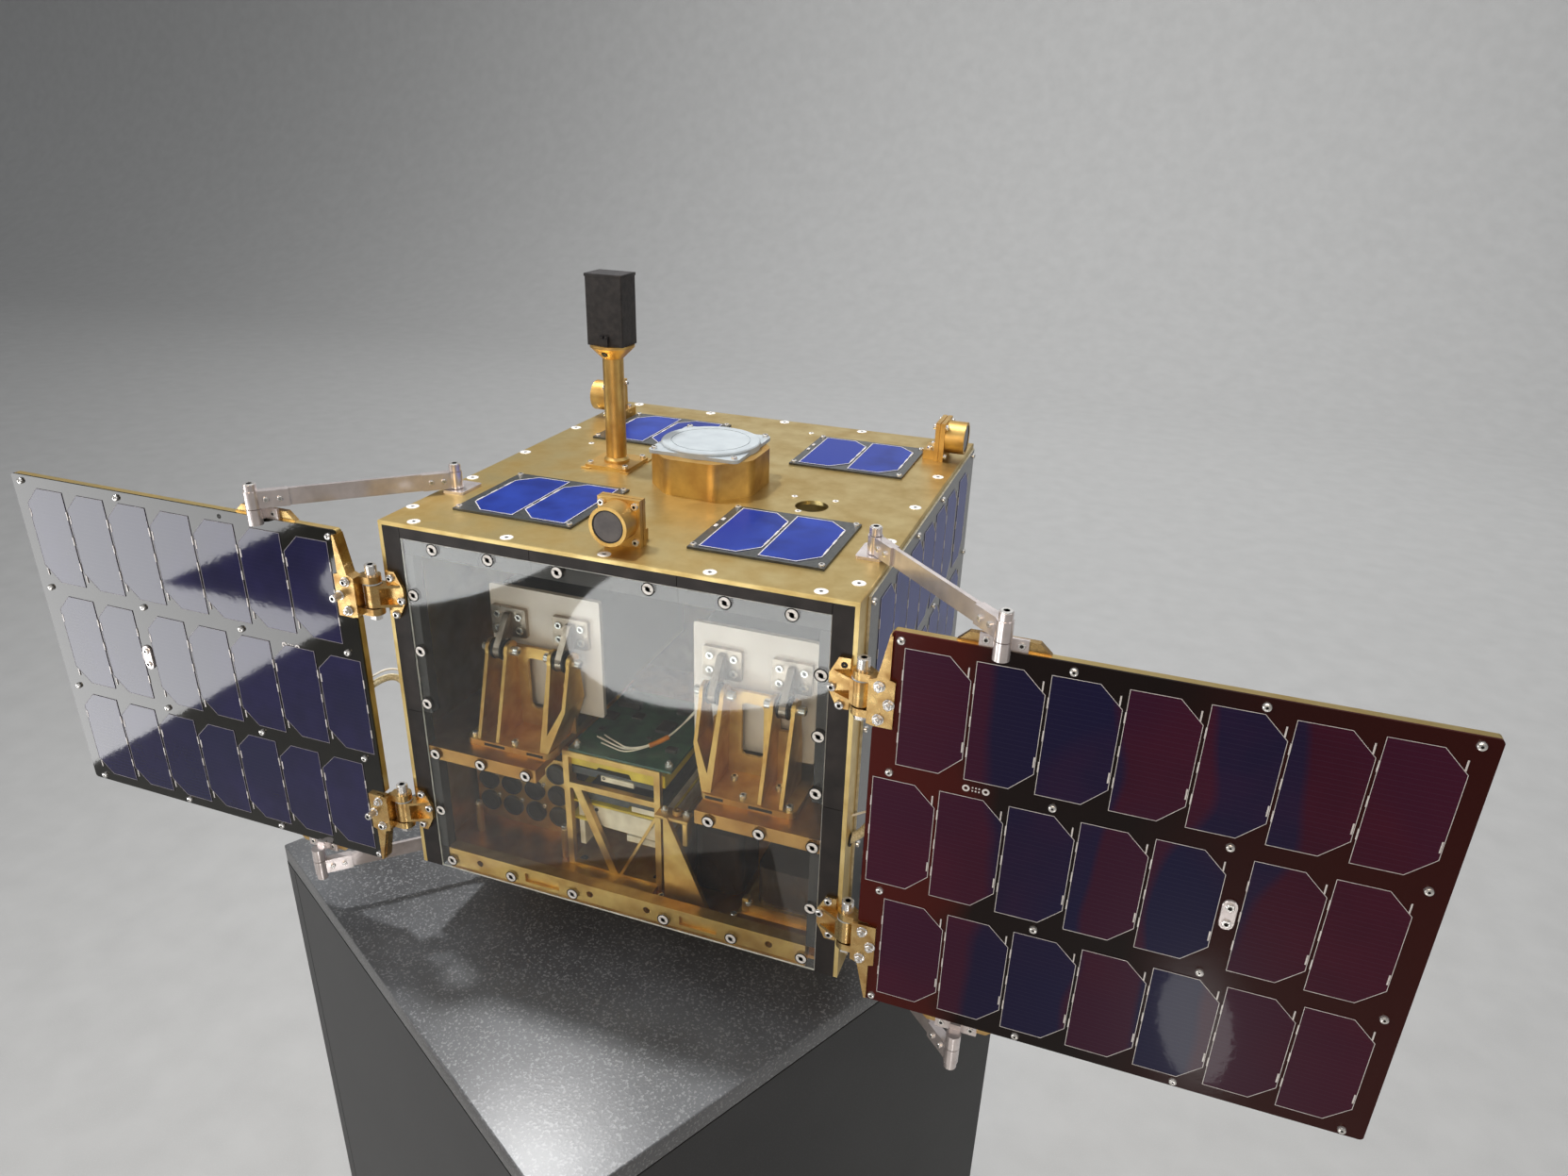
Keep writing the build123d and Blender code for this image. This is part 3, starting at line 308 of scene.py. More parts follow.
@dataclass(frozen=True)
class PlasticFinish(Finish):
    """Moulded, printed or painted surface: two near tones, a fine grain and perhaps a clear coat.

    With bands, the tones run along X instead, from the light one over the bands to the dark one: a painted
    reflection.
    """

    light: str
    dark: str
    roughness: float
    patch_mm: float = 12.0
    grain_mm: float = 0.6
    grain_stretch: XYZ = (1.0, 1.0, 1.0)
    grain_depth: float = 0.1
    coat: float = 0.0
    specular: float = 0.5
    coat_rough: float = 0.05
    span_mm: XY = (221.0, 541.0)
    # Bands of colour along X paint a reflection.
    bands: Stops = ()
    wave_size_mm: float = 9.0
    wave_mm: float = 0.0

    def surface(self, add: AddNode, place: NodeSocket) -> Node:
        """Adds the plastic, with waves in its clear coat where it has them.

        Args:
            add: adds a node to the material.
            place: the point on the object.

        Returns:
            The shader.
        """
        patches = add("TexNoise", {"Vector": place, "Scale": per_mm(self.patch_mm), "Detail": 3.0})
        if self.bands:
            stops = ((0.0, self.light), *self.bands, (1.0, self.dark))
            colour = self.banded(add, place, patches, self.span_mm, stops)
        else:
            colour = add("ValToRGB", {"Fac": patches}, stops=((0.35, self.dark), (0.65, self.light)))
        along = add("Mapping", {"Vector": place, "Scale": self.grain_stretch})
        bump = over = self.relief(add, along, self.grain_mm, 0.3, self.grain_depth, 2.0)
        if self.wave_mm:
            over = self.relief(add, place, self.wave_size_mm, self.wave_mm, 1.0, 3.0)
        sockets = {"Base Color": colour, "Roughness": self.roughness, "IOR": 1.5, "Normal": bump}
        sockets |= {"Specular IOR Level": self.specular, "Coat Weight": self.coat, "Coat Normal": over}
        return add("BsdfPrincipled", {**sockets, "Coat Roughness": self.coat_rough})


@dataclass(frozen=True)
class CellFinish(Finish):
    """Solar cell below its cover glass: coated silicon whose hue drifts, with hair-thin fingers.

    The fingers are 0.1 mm lines about 1.6 mm apart. They are drawn wider than they are, so that they show.
    """

    deep: str
    bright: str
    accent: str
    coat: float = 1.0
    specular: float = 0.5
    span_mm: XY = (221.0, 541.0)
    # Bands of colour along X paint a reflection.
    bands: Stops = ()
    band_share: float = 0.8
    patch_mm: float = 30.0
    drift_mm: float = 110.0
    finger_mm: float = 1.6
    finger_share: float = 0.1
    finger_tone: str = "#8A90B8"
    wave_size_mm: float = 9.0
    wave_mm: float = 0.02

    def surface(self, add: AddNode, place: NodeSocket) -> Node:
        """Adds the cell and the slightly wavy glass over it.

        Args:
            add: adds a node to the material.
            place: the point on the object.

        Returns:
            The shader.
        """
        patches = add("TexNoise", {"Vector": place, "Scale": per_mm(self.patch_mm), "Detail": 4.0})
        body = add("ValToRGB", {"Fac": patches}, stops=((0.34, self.deep), (0.66, self.bright)))
        drift = add("TexNoise", {"Vector": place, "Scale": per_mm(self.drift_mm), "Detail": 1.0})
        share = add("MapRange", {"Value": drift, "From Min": 0.44, "From Max": 0.56})
        tint = add("MixRGB", {"Fac": share, "Color1": body, "Color2": linear(self.accent)})
        # The bands paint a reflection over the cell's own tint.
        if self.bands:
            hue = self.banded(add, place, drift, self.span_mm, self.bands)
            tint = add("MixRGB", {"Fac": self.band_share, "Color1": tint, "Color2": hue})
        lines = {"Vector": place, "Scale": per_mm(self.finger_mm) / math.tau}
        fingers = add("TexWave", lines, {"bands_direction": "Z", "wave_profile": "SAW"}).outputs["Fac"]
        reach = {"From Min": 0.86, "From Max": 1.0, "To Max": self.finger_share}
        line = add("MapRange", {"Value": fingers, **reach})
        lined = add("MixRGB", {"Fac": line, "Color1": tint, "Color2": linear(self.finger_tone)})
        bump = self.relief(add, place, self.wave_size_mm, self.wave_mm, 1.0, 3.0)
        sockets = {"Base Color": lined, "Normal": bump, "Coat Normal": bump, "Roughness": 0.3, "IOR": 1.5}
        sockets |= {"Specular IOR Level": self.specular, "Coat Weight": self.coat}
        return add("BsdfPrincipled", {**sockets, "Coat Roughness": 0.04, "Coat IOR": 1.5})


@dataclass(frozen=True)
class ClearFinish(Finish):
    """Clear cast acrylic with a faint haze of fine scratches. Lamps shine through it."""

    tint: str
    roughness: float = 0.015
    haze: float = 0.02
    haze_mm: float = 60.0

    def surface(self, add: AddNode, place: NodeSocket) -> Node:
        """Adds the acrylic, which lets light rays pass straight.

        Args:
            add: adds a node to the material.
            place: the point on the object.

        Returns:
            The shader.
        """
        cloud = add("TexNoise", {"Vector": place, "Scale": per_mm(self.haze_mm), "Detail": 3.0})
        rough = {"To Min": self.roughness, "To Max": self.roughness + self.haze}
        sockets = {"Base Color": linear(self.tint), "Roughness": add("MapRange", {"Value": cloud, **rough})}
        sockets |= {"IOR": 1.49, "Specular IOR Level": 0.3, "Transmission Weight": 1.0}
        clear = add("BsdfPrincipled", sockets)
        passing = add("BsdfTransparent", {"Color": linear(self.tint)})
        shadow = add("LightPath").outputs["Is Shadow Ray"]
        return add("MixShader", {0: shadow, 1: clear, 2: passing})


@dataclass(frozen=True)
class LaminateFinish(Finish):
    """Plinth laminate: a clouded ground with specks in its wear layer, each a grain of the grit."""

    ground: str
    cloud: str
    fleck: str
    roughness: float
    speck_mm: float = 1.8
    fleck_share: float = 0.55
    grain_depth: float = 0.12
    cloud_mm: float = 90.0

    def surface(self, add: AddNode, place: NodeSocket) -> Node:
        """Adds the laminate, each speck also a small bump.

        Args:
            add: adds a node to the material.
            place: the point on the object.

        Returns:
            The shader.
        """
        clouds = add("TexNoise", {"Vector": place, "Scale": per_mm(self.cloud_mm), "Detail": 6.0})
        ground = add("ValToRGB", {"Fac": clouds}, stops=((0.3, self.ground), (0.7, self.cloud)))
        specks = add("TexNoise", {"Vector": place, "Scale": per_mm(self.speck_mm), "Detail": 1.0})
        reach = {"From Min": 0.56, "From Max": 0.68, "To Max": self.fleck_share}
        mask = add("MapRange", {"Value": specks, **reach})
        flecked = add("MixRGB", {"Fac": mask, "Color1": ground, "Color2": linear(self.fleck)})
        bump = add("Bump", {"Height": specks, "Strength": self.grain_depth, "Distance": 0.4 * MM})
        return add("BsdfPrincipled", {"Base Color": flecked, "Roughness": self.roughness, "Normal": bump})


class Finishes:
    """Every finish on the satellite and its plinth, each built once."""

    def __init__(self) -> None:
        """Builds the materials."""
        upright = (1.0, 1.0, 0.06)
        # Chromate coating on rolled sheet: pale yellow with cloudy patches and a broad soft sheen.
        self.gold = MetalFinish("gold_chromated_aluminium_sheet", "#E5CE90", "#BFA263", 0.38, 24.0).build()
        # Chromate coating on the plates inside the bus: amber brown, darkened by a painted reflection of the
        # dark room round them.
        self.gold_inner = MetalFinish(
            "gold_chromated_aluminium_inner_sheet", "#D6A45C", "#A06E34", 0.34, 30.0
        ).build()
        # Chromate coating on milled stock: a deeper amber with the cutter's upright lines.
        self.gold_milled = MetalFinish(
            "gold_chromated_aluminium_milled", "#E3BF76", "#BC9353", 0.44, 18.0, 0.5, upright, 0.2
        ).build()
        # Chromate coating on small milled fittings: bright amber with crisp highlights on the edges.
        self.gold_fitting = MetalFinish(
            "gold_chromated_aluminium_fitting", "#DBBC80", "#AC8450", 0.28, 9.0, 0.35
        ).build()
        # Black anodising on brushed bars: near black with a drawn-out sheen; its brownish tone is a painted
        # reflection of the gold and red round it.
        self.black_frame = MetalFinish(
            "black_anodised_aluminium_brushed", "#2B2421", "#1A1614", 0.42, 14.0, 0.5, upright, 0.15, 0.35
        ).build()
        # Black anodising on bead-blasted housings: even, dark and soft.
        self.black_housing = MetalFinish(
            "black_anodised_aluminium_blasted", "#262324", "#171516", 0.4, 20.0, 0.6, metallic=0.3
        ).build()
        # Black anodising on polished housings: dark glass-like faces that mirror the gold round them; their
        # brown tone is a painted reflection of that gold.
        self.wheel = MetalFinish(
            "black_anodised_aluminium_polished", "#4A3A30", "#332821", 0.22, 40.0, 0.6, metallic=0.6
        ).build()
        # Bare milled aluminium: cool and bright, with fine lines along the bars.
        self.silver = MetalFinish(
            "bare_aluminium_milled", "#EFE6E4", "#CDC4C2", 0.22, 14.0, 0.4, (1.0, 1.0, 0.3), 0.1, 0.7
        ).build()
        # Bare aluminium castings, tumbled: darker and browner than the bars, with soft highlights.
        self.silver_cast = MetalFinish(
            "bare_aluminium_tumbled", "#B5A798", "#8B7E70", 0.32, 10.0, 0.4
        ).build()
        # Bare aluminium sheet, rubbed matt: pale and nearly even.
        self.silver_sheet = MetalFinish(
            "bare_aluminium_sheet_matt", "#DDD5D0", "#C6BDB7", 0.5, 40.0, 0.6, (1.0, 1.0, 0.2), 0.1, 0.35
        ).build()
        # Stainless steel fasteners: small, bright and sharply reflecting.
        self.steel = MetalFinish(
            "stainless_steel_turned", "#F2F0ED", "#D8D5D0", 0.22, 6.0, 0.3, metallic=0.8
        ).build()
        # Zinc plating on countersunk heads: pale and satin, without a sharp reflection.
        self.zinc = MetalFinish(
            "zinc_plated_steel_satin", "#F5F3EF", "#E0DDD8", 0.45, 6.0, 0.3, metallic=0.35
        ).build()
        # Near black: painted shade inside screw sockets, holes and slots and round the panel screws; also the
        # plinth's dark seams and the ring round each sun sensor window.
        self.recess = PlasticFinish("painted_shade_and_seam_black", "#171614", "#0C0B0A", 0.6).build()
        # Glossy solder mask on black boards: deep brown black below a clear, faintly wavy shine.
        self.board = PlasticFinish(
            "black_solder_mask", "#1B1A12", "#12110C", 0.4, 22.0, 0.8,
            coat=1.0, specular=0.0, coat_rough=0.04, wave_mm=0.02,
        ).build()  # fmt: skip
        # Glossy black solder mask with a painted red reflection: red brown towards the hinges, nearly black
        # further out.
        self.board_red_reflection = PlasticFinish(
            "brown_solder_mask", "#4C110A", "#340D09", 0.36, 70.0, 0.8, coat=0.1, specular=0.1,
            bands=((0.17, "#430F09"), (0.25, "#170D0B"), (0.48, "#150C0A"), (0.66, "#2A0B08")),
        ).build()  # fmt: skip
        # Grey laminate of the deck boards: a dull stone grey with a slight shine.
        self.board_grey = PlasticFinish(
            "grey_board_laminate", "#3C3E3C", "#282A2B", 0.34, 3.0, 0.8, coat=0.3
        ).build()
        # The cut edge of a glass fibre board: pale and matt.
        self.board_edge = PlasticFinish("glass_fibre_board_edge", "#C9C3AE", "#AFA890", 0.6, 5.0).build()
        # Deck cells: bright royal blue silicon under cover glass.
        self.cell_top = CellFinish(
            "silicon_cell_royal_blue", "#16276F", "#22398F", "#1A2E80", 0.06, 0.1
        ).build()
        # Left wing cells: dark indigo below a mirror-like cover glass.
        self.cell_left = CellFinish(
            "silicon_cell_indigo", "#1A1844", "#232052", "#1B1C48", 1.0, 0.0, finger_share=0.03
        ).build()
        # Right wing cells: dark silicon with a painted reflection of red surroundings, in burgundy bands with
        # navy ones between.
        self.cell_right = CellFinish(
            "silicon_cell_burgundy_navy", "#32102A", "#4A1530", "#231238", 0.1, 0.1,
            bands=(
                (0.0, "#43152C"), (0.23, "#3E1228"), (0.255, "#171536"), (0.437, "#15163A"),
                (0.452, "#3A0F26"), (0.568, "#3D1228"), (0.582, "#14173A"), (0.7, "#161738"),
                (0.716, "#3A0E22"), (1.0, "#451426"),
            ),
            finger_share=0.04, wave_size_mm=5.0,
        ).build()  # fmt: skip
        # Screen-printed silver contacts: thin, pale and satin.
        self.contact = MetalFinish(
            "silver_contact_printed", "#F0ECEA", "#CFCAC8", 0.4, 4.0, 0.3, metallic=0.4
        ).build()
        # The same contacts under the mirror-like glass of the left wing, drawn dull and greyish.
        self.contact_dull = MetalFinish(
            "silver_contact_dull_grey", "#A9A4AB", "#88838C", 0.5, 4.0, 0.3, metallic=0.3
        ).build()
        # Cast acrylic sheet: clear, a touch green, with the room's light on it.
        self.clear = ClearFinish("cast_acrylic_clear", "#F1F5F3").build()
        # Sawn acrylic edge: frosted and pale where it gathers light.
        self.clear_edge = PlasticFinish("cast_acrylic_sawn_edge", "#E4E6E2", "#C4C8C4", 0.35, 8.0).build()
        # Antenna cover: white satin glass ceramic.
        self.white = PlasticFinish("white_ceramic_satin", "#AFB6B9", "#A4ABAF", 0.35).build()
        # Laser-sintered nylon: black and grainy, with its layers about 0.2 mm thick drawn as 1 mm.
        self.black_print = PlasticFinish(
            "black_nylon_sintered", "#2E2A2A", "#191718", 0.6, 5.0, 1.0, (0.35, 0.35, 1.0), 0.8
        ).build()
        # Sensor window: grey frosted glass that holds a soft sheen.
        self.lens = PlasticFinish("grey_frosted_glass", "#5E5857", "#4C4748", 0.35, 9.0, coat=0.1).build()
        # Green solder mask: deep bottle green with a shine.
        self.green = PlasticFinish("green_solder_mask", "#2F5A45", "#1F3D31", 0.32, 10.0, coat=0.5).build()
        # Yellow spacer cards: strong matt yellow.
        self.yellow = PlasticFinish("yellow_phenolic_card", "#DCC52F", "#BFA621", 0.45).build()
        # Cream spacer cards: off white and matt.
        self.cream = PlasticFinish("cream_phenolic_card", "#EDE6D4", "#D2C8B4", 0.5).build()
        # Heat-shrink sleeve on the battery cells: black with a waxy shine.
        self.wrap = PlasticFinish("black_heat_shrink", "#2A2A2D", "#1A1A1D", 0.34, coat=0.2).build()
        # Wire jackets: white and slightly waxy.
        self.wire = PlasticFinish("white_wire_jacket", "#F2EEE4", "#DCD5C6", 0.4).build()
        # Braided sleeve of the wing harness: cream yarns about 0.6 mm wide, drawn as 0.7 mm.
        self.cable = PlasticFinish(
            "cream_braided_sleeve", "#EADFBF", "#BFB28B", 0.6, 1.4, 0.7, grain_depth=0.9
        ).build()
        # Polyimide tape: clear amber with a wet shine.
        self.tape = PlasticFinish("amber_polyimide_tape", "#E08A22", "#B9690F", 0.3, coat=0.6).build()
        # Plinth top: dark grey speckled laminate with a broad sheen.
        self.plinth_top = LaminateFinish(
            "speckled_grey_laminate", "#434446", "#5C5E61", "#909294", 0.34
        ).build()
        # Plinth sides: charcoal laminate with a fine even grain.
        self.plinth_side = LaminateFinish(
            "charcoal_laminate", "#161617", "#202021", "#343436", 0.5, 0.9
        ).build()
        # Studio floor: pale and even.
        self.floor = LaminateFinish(
            "pale_studio_floor", "#B6B6B5", "#BDBDBC", "#C2C2C1", 0.7, grain_depth=0.0
        ).build()


# Modelling helpers


def only(obj: Object) -> None:
    """Makes one object the selected and active one.

    Args:
        obj: the object.
    """
    bpy.ops.object.select_all(action="DESELECT")
    obj.select_set(True)
    bpy.context.view_layer.objects.active = obj


def active() -> Object:
    """The object that the last operator worked on."""
    return bpy.context.view_layer.objects.active


def added(operator: Callable[..., object], **settings: object) -> Object:
    """Adds one of Blender's primitive meshes, alone in the selection.

    Args:
        operator: the operator that adds it.
        settings: the operator's settings.

    Returns:
        The new mesh.
    """
    bpy.ops.object.select_all(action="DESELECT")
    operator(**settings)
    return active()


def linked(name: str, data: bpy.types.ID) -> Object:
    """Makes an object and links it to the scene.

    Args:
        name: its name.
        data: its mesh, curve, camera or light.

    Returns:
        The object.
    """
    obj = bpy.data.objects.new(name, data)
    bpy.context.scene.collection.objects.link(obj)
    return obj


def placed(obj: Object, turn: Matrix) -> Object:
    """Gives an object its place and turn."""
    obj.matrix_world = turn
    return obj


def edit_with(obj: Object, wanted: Callable[[MeshPolygon], bool]) -> None:
    """Enters edit mode with only some faces selected.

    Args:
        obj: the mesh to edit.
        wanted: says of a face whether it is selected.
    """
    only(obj)
    bpy.ops.object.mode_set(mode="EDIT")
    bpy.ops.mesh.select_mode(type="FACE")
    bpy.ops.mesh.select_all(action="DESELECT")
    bpy.ops.object.mode_set(mode="OBJECT")
    for polygon in obj.data.polygons:
        polygon.select = wanted(polygon)
    bpy.ops.object.mode_set(mode="EDIT")


def edit_vertices(obj: Object, wanted: Callable[[Vector], bool]) -> None:
    """Selects only some vertices of a mesh that is being edited.

    Args:
        obj: the mesh.
        wanted: says of a vertex's place whether it is selected.
    """
    bpy.ops.mesh.select_mode(type="VERT")
    bpy.ops.mesh.select_all(action="DESELECT")
    bpy.ops.object.mode_set(mode="OBJECT")
    for vertex in obj.data.vertices:
        vertex.select = wanted(vertex.co)
    bpy.ops.object.mode_set(mode="EDIT")


def extrude(high: float) -> None:
    """Draws the selected faces or edges out along Z, by a length in metres."""
    bpy.ops.mesh.extrude_region_move(TRANSFORM_OT_translate={"value": (0, 0, high)})


def face_outwards() -> None:
    """Turns all faces outwards and goes back to object mode."""
    bpy.ops.mesh.select_all(action="SELECT")
    bpy.ops.mesh.normals_make_consistent(inside=False)
    bpy.ops.object.mode_set(mode="OBJECT")


def apply_place(obj: Object) -> None:
    """Moves the object's place, turn and scale into its mesh."""
    only(obj)
    bpy.ops.object.transform_apply(location=True, rotation=True, scale=True)


def coat(obj: Object, *materials: Material) -> Object:
    """Gives a mesh its materials. Pieces of several materials get them before they are joined.

    Args:
        obj: the mesh.
        materials: one material per index in the mesh.

    Returns:
        The same mesh, each face with the index it had.
    """
    indices = [polygon.material_index for polygon in obj.data.polygons]
    obj.data.materials.clear()
    for material in materials:
        obj.data.materials.append(material)
    for polygon, index in zip(obj.data.polygons, indices):
        polygon.material_index = index
    return obj


def join(pieces: list[Object], name: str) -> Object:
    """Joins several meshes into one piece.

    Args:
        pieces: the meshes.
        name: the joined piece's name.

    Returns:
        The joined piece, with its place in its mesh.
    """
    bpy.ops.object.select_all(action="DESELECT")
    for piece in pieces:
        piece.select_set(True)
    bpy.context.view_layer.objects.active = pieces[0]
    if len(pieces) > 1:
        bpy.ops.object.join()
    joined = active()
    joined.name = name
    apply_place(joined)
    return joined


def copies(prototype: Object, turns: Iterable[Matrix], name: str) -> Object:
    """Sets copies of a prototype and joins them.

    Args:
        prototype: a piece modelled about the origin. It is removed.
        turns: the place and turn of each copy.
        name: the joined piece's name.

    Returns:
        The joined piece.
    """
    made = [placed(linked(name, prototype.data.copy()), turn) for turn in turns]
    bpy.data.objects.remove(prototype)
    return join(made, name)


def upright(places: Iterable[Place]) -> list[Matrix]:
    """The turns that set a prototype's foot and point its +Z along a direction.

    Args:
        places: for each copy its foot and the direction of its head.

    Returns:
        A matrix for each copy.
    """
    up = Vector((0, 0, 1))
    return [
        Matrix.Translation(foot) @ up.rotation_difference(way).to_matrix().to_4x4() for foot, way in places
    ]


def laid(centre: Vector, across: Vector, out: Vector) -> Matrix:
    """The turn that lays a flat prototype on a face, its +X across it and its +Z out of it."""
    turn = Matrix((across, out.cross(across), out)).transposed().to_4x4()
    return Matrix.Translation(centre) @ turn


def fit(
    obj: Object, slot: str, *materials: Material, body: str | None = BUS, smooth_deg: float = 35.0
) -> Object:
    """Finishes a piece: its materials, its smooth shading and its body.

    Args:
        obj: the piece, with its place in its mesh.
        slot: the record's slot of the piece. It is not used.
        materials: one material per index in the mesh.
        body: the body that it rides on, or None for a piece that rides on none.
        smooth_deg: the sharpest edge that is shaded smooth.

    Returns:
        The same piece.
    """
    coat(obj, *materials)
    only(obj)
    bpy.ops.object.shade_smooth_by_angle(angle=math.radians(smooth_deg))
    if body:
        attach(obj, body)
    LOG.info("%s: %d faces", obj.name, len(obj.data.polygons))
    return obj


def paint(**nodes: Material) -> None:
    """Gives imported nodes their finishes.

    Args:
        nodes: the finish of each node, by the node's name.
    """
    for node, material in nodes.items():
        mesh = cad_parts[node].data
        mesh.materials.clear()
        mesh.materials.append(material)


def box(low: Vector, high: Vector, bevel_mm: float, segments: int = 1) -> Object:
    """A block with rounded edges.

    Args:
        low: its lowest corner in metres.
        high: its highest corner in metres.
        bevel_mm: the radius of its edges.
        segments: the steps of each rounded edge.

    Returns:
        The block.
    """
    cube = bpy.ops.mesh.primitive_cube_add
    block = added(cube, size=1, location=(low + high) / 2, scale=high - low)
    apply_place(block)
    bevel(block, lambda polygon: True, bevel_mm, segments)
    return block


def block_at(low: Vector, size: XYZ, bevel_mm: float, segments: int = 1) -> Object:
    """A block given by its lowest corner in metres and its size in millimetres."""
    return box(low, low + Vector(size) * MM, bevel_mm, segments)


def bevel(obj: Object, wanted: Callable[[MeshPolygon], bool], size_mm: float, segments: int) -> None:
    """Bevels the edges of some faces.

    Args:
        obj: the mesh.
        wanted: says of a face whether its edges are bevelled.
        size_mm: the size of the bevel.
        segments: its steps.
    """
    edit_with(obj, wanted)
    bpy.ops.mesh.bevel(offset=size_mm * MM, segments=segments, affect="EDGES")
    bpy.ops.object.mode_set(mode="OBJECT")


def post(sides: int, radius: float, high: float, edge: float, segments: int = 1) -> Object:
    """An upright post on the origin with a bevelled upper edge. All sizes are millimetres.

    Args:
        sides: the number of its sides.
        radius: its radius.
        high: its height.
        edge: the size of the bevel.
        segments: the steps of the bevel.

    Returns:
        The post.
    """
    middle = (0, 0, high * MM / 2)
    cylinder = bpy.ops.mesh.primitive_cylinder_add
    made = added(cylinder, vertices=sides, radius=radius * MM, depth=high * MM, location=middle)
    apply_place(made)
    bevel(made, lambda polygon: polygon.center.z > high * MM - HAIR, edge, segments)
    return made


def plate(points: Iterable[XY], thickness: float, bevel_mm: float = 0.15) -> Object:
    """A flat plate with a given outline, standing on the XY plane.

    Args:
        points: the outline in millimetres, anticlockwise.
        thickness: the plate's thickness in millimetres.
        bevel_mm: the radius of the edges of its upper face.

    Returns:
        The plate.
    """
    outline = list(points)
    sheet = added(bpy.ops.mesh.primitive_circle_add, vertices=len(outline), fill_type="NGON")
    for vertex, (x, y) in zip(sheet.data.vertices, outline):
        vertex.co = Vector((x * MM, y * MM, 0))
    edit_with(sheet, lambda polygon: True)
    extrude(thickness * MM)
    face_outwards()
    edit_with(sheet, lambda polygon: polygon.center.z > thickness * MM - HAIR)
    bpy.ops.mesh.bevel(offset=bevel_mm * MM, segments=1, affect="EDGES")
    face_outwards()
    return sheet


def stadium(wide: float, high: float, steps: int = 6) -> list[XY]:
    """The outline of an upright slot shape.

    Args:
        wide: its width, twice the radius of its ends.
        high: its overall height.
        steps: the steps of each round end.

    Returns:
        The points, anticlockwise.
    """
    radius = wide / 2
    centre = high / 2 - radius
    points = []
    for end, start in ((1, 0), (-1, math.pi)):
        for step in range(steps + 1):
            angle = math.pi * step / steps + start
            points.append((radius * math.cos(angle), end * centre + radius * math.sin(angle)))
    return points


def strand(points: Iterable[Vector], radius_mm: float, resolution: int) -> Object:
    """A round strand along a smooth line.

    Args:
        points: the control points of the line, in metres.
        radius_mm: the strand's radius.
        resolution: how finely its round section is divided.

    Returns:
        The strand as a mesh.
    """
    controls = list(points)
    curve = bpy.data.curves.new("strand", "CURVE")
    curve.dimensions = "3D"
    curve.bevel_depth = radius_mm * MM
    curve.bevel_resolution = resolution
    curve.use_fill_caps = True
    curve.resolution_u = 8
    spline = curve.splines.new("NURBS")
    spline.points.add(len(controls) - 1)
    for control, point in zip(spline.points, controls):
        control.co = (*point, 1.0)
    spline.order_u = 3
    spline.use_endpoint_u = True
    only(linked("strand", curve))
    bpy.ops.object.convert(target="MESH")
    tube = active()
    edit_with(tube, lambda polygon: True)
    bpy.ops.mesh.remove_doubles(threshold=HAIR)
    face_outwards()
    return tube


# Fasteners and printed lines


@dataclass(frozen=True)
class Part:
    """A small part that is modelled once and then copied. Sizes are millimetres."""

    def model(self) -> Object:
        """Models the part, foot at the origin."""
        raise NotImplementedError


@dataclass(frozen=True)
class Screw(Part):
    """A socket screw, given by its head. Sizes are millimetres."""

    head: float
    height: float
    socket: float
    edge: float = 0.4
    rounds: int = 1
    sides: int = 16

    def model(self) -> Object:
        """Models the head, foot at the origin, with its hexagon socket as the second material.

        Returns:
            The prototype.
        """
        mesh = bpy.ops.mesh
        screw = post(self.sides, self.head, self.height, self.edge, self.rounds)
        high = self.height * MM
        edit_with(screw, lambda polygon: polygon.center.z > high - HAIR and polygon.normal.z > 0.99)
        mesh.delete(type="FACE")
        mesh.primitive_circle_add(vertices=6, radius=self.socket * MM, location=(0, 0, high))
        mesh.select_mode(type="EDGE")
        mesh.select_all(action="DESELECT")
        mesh.select_non_manifold()
        mesh.bridge_edge_loops()
        mesh.select_all(action="DESELECT")
        mesh.select_non_manifold()
        extrude(-min(self.height * 0.6, self.socket) * MM)
        mesh.edge_face_add()
        face_outwards()
        reach = self.socket * MM * 1.02
        for polygon in screw.data.polygons:
            inside = max(math.hypot(*screw.data.vertices[v].co[:2]) for v in polygon.vertices) < reach
            polygon.material_index = 1 if inside else 0
        return screw


@dataclass(frozen=True)
class Ring(Part):
    """A washer, spacer or plain disc with chamfered edges. Sizes are millimetres."""

    outer: float
    inner: float
    height: float

    def model(self) -> Object:
        """Models the ring by spinning its section about the axis.

        Returns:
            The prototype, foot at the origin.
        """
        mesh = bpy.ops.mesh
        ring = added(mesh.primitive_plane_add, size=1)
        for vertex in ring.data.vertices:
            across = self.outer if vertex.co.x > 0 else self.inner
            vertex.co = Vector((across * MM, 0, self.height * MM if vertex.co.y > 0 else 0.0))
        edit_with(ring, lambda polygon: True)
        chamfer = min(self.height, self.outer - self.inner) * 0.2
        mesh.bevel(offset=chamfer * MM, segments=1, affect="VERTICES")
        mesh.delete(type="ONLY_FACE")
        mesh.select_mode(type="EDGE")
        mesh.select_all(action="SELECT")
        mesh.spin(steps=24, angle=math.tau, center=(0, 0, 0), axis=(0, 0, 1))
        mesh.select_all(action="SELECT")
        mesh.remove_doubles(threshold=HAIR)
        face_outwards()
        return ring


@dataclass(frozen=True)
class Nut(Part):
    """A hexagon nut with the end of its stud standing out. Sizes are millimetres."""

    radius: float
    height: float
    stud: float
    stud_long: float

    def model(self) -> Object:
        """Models the nut and its stud, foot at the origin."""
        stud = (12, self.stud, self.height + self.stud_long, 0.4)
        return join([post(6, self.radius, self.height, 0.3), post(*stud)], "nut")


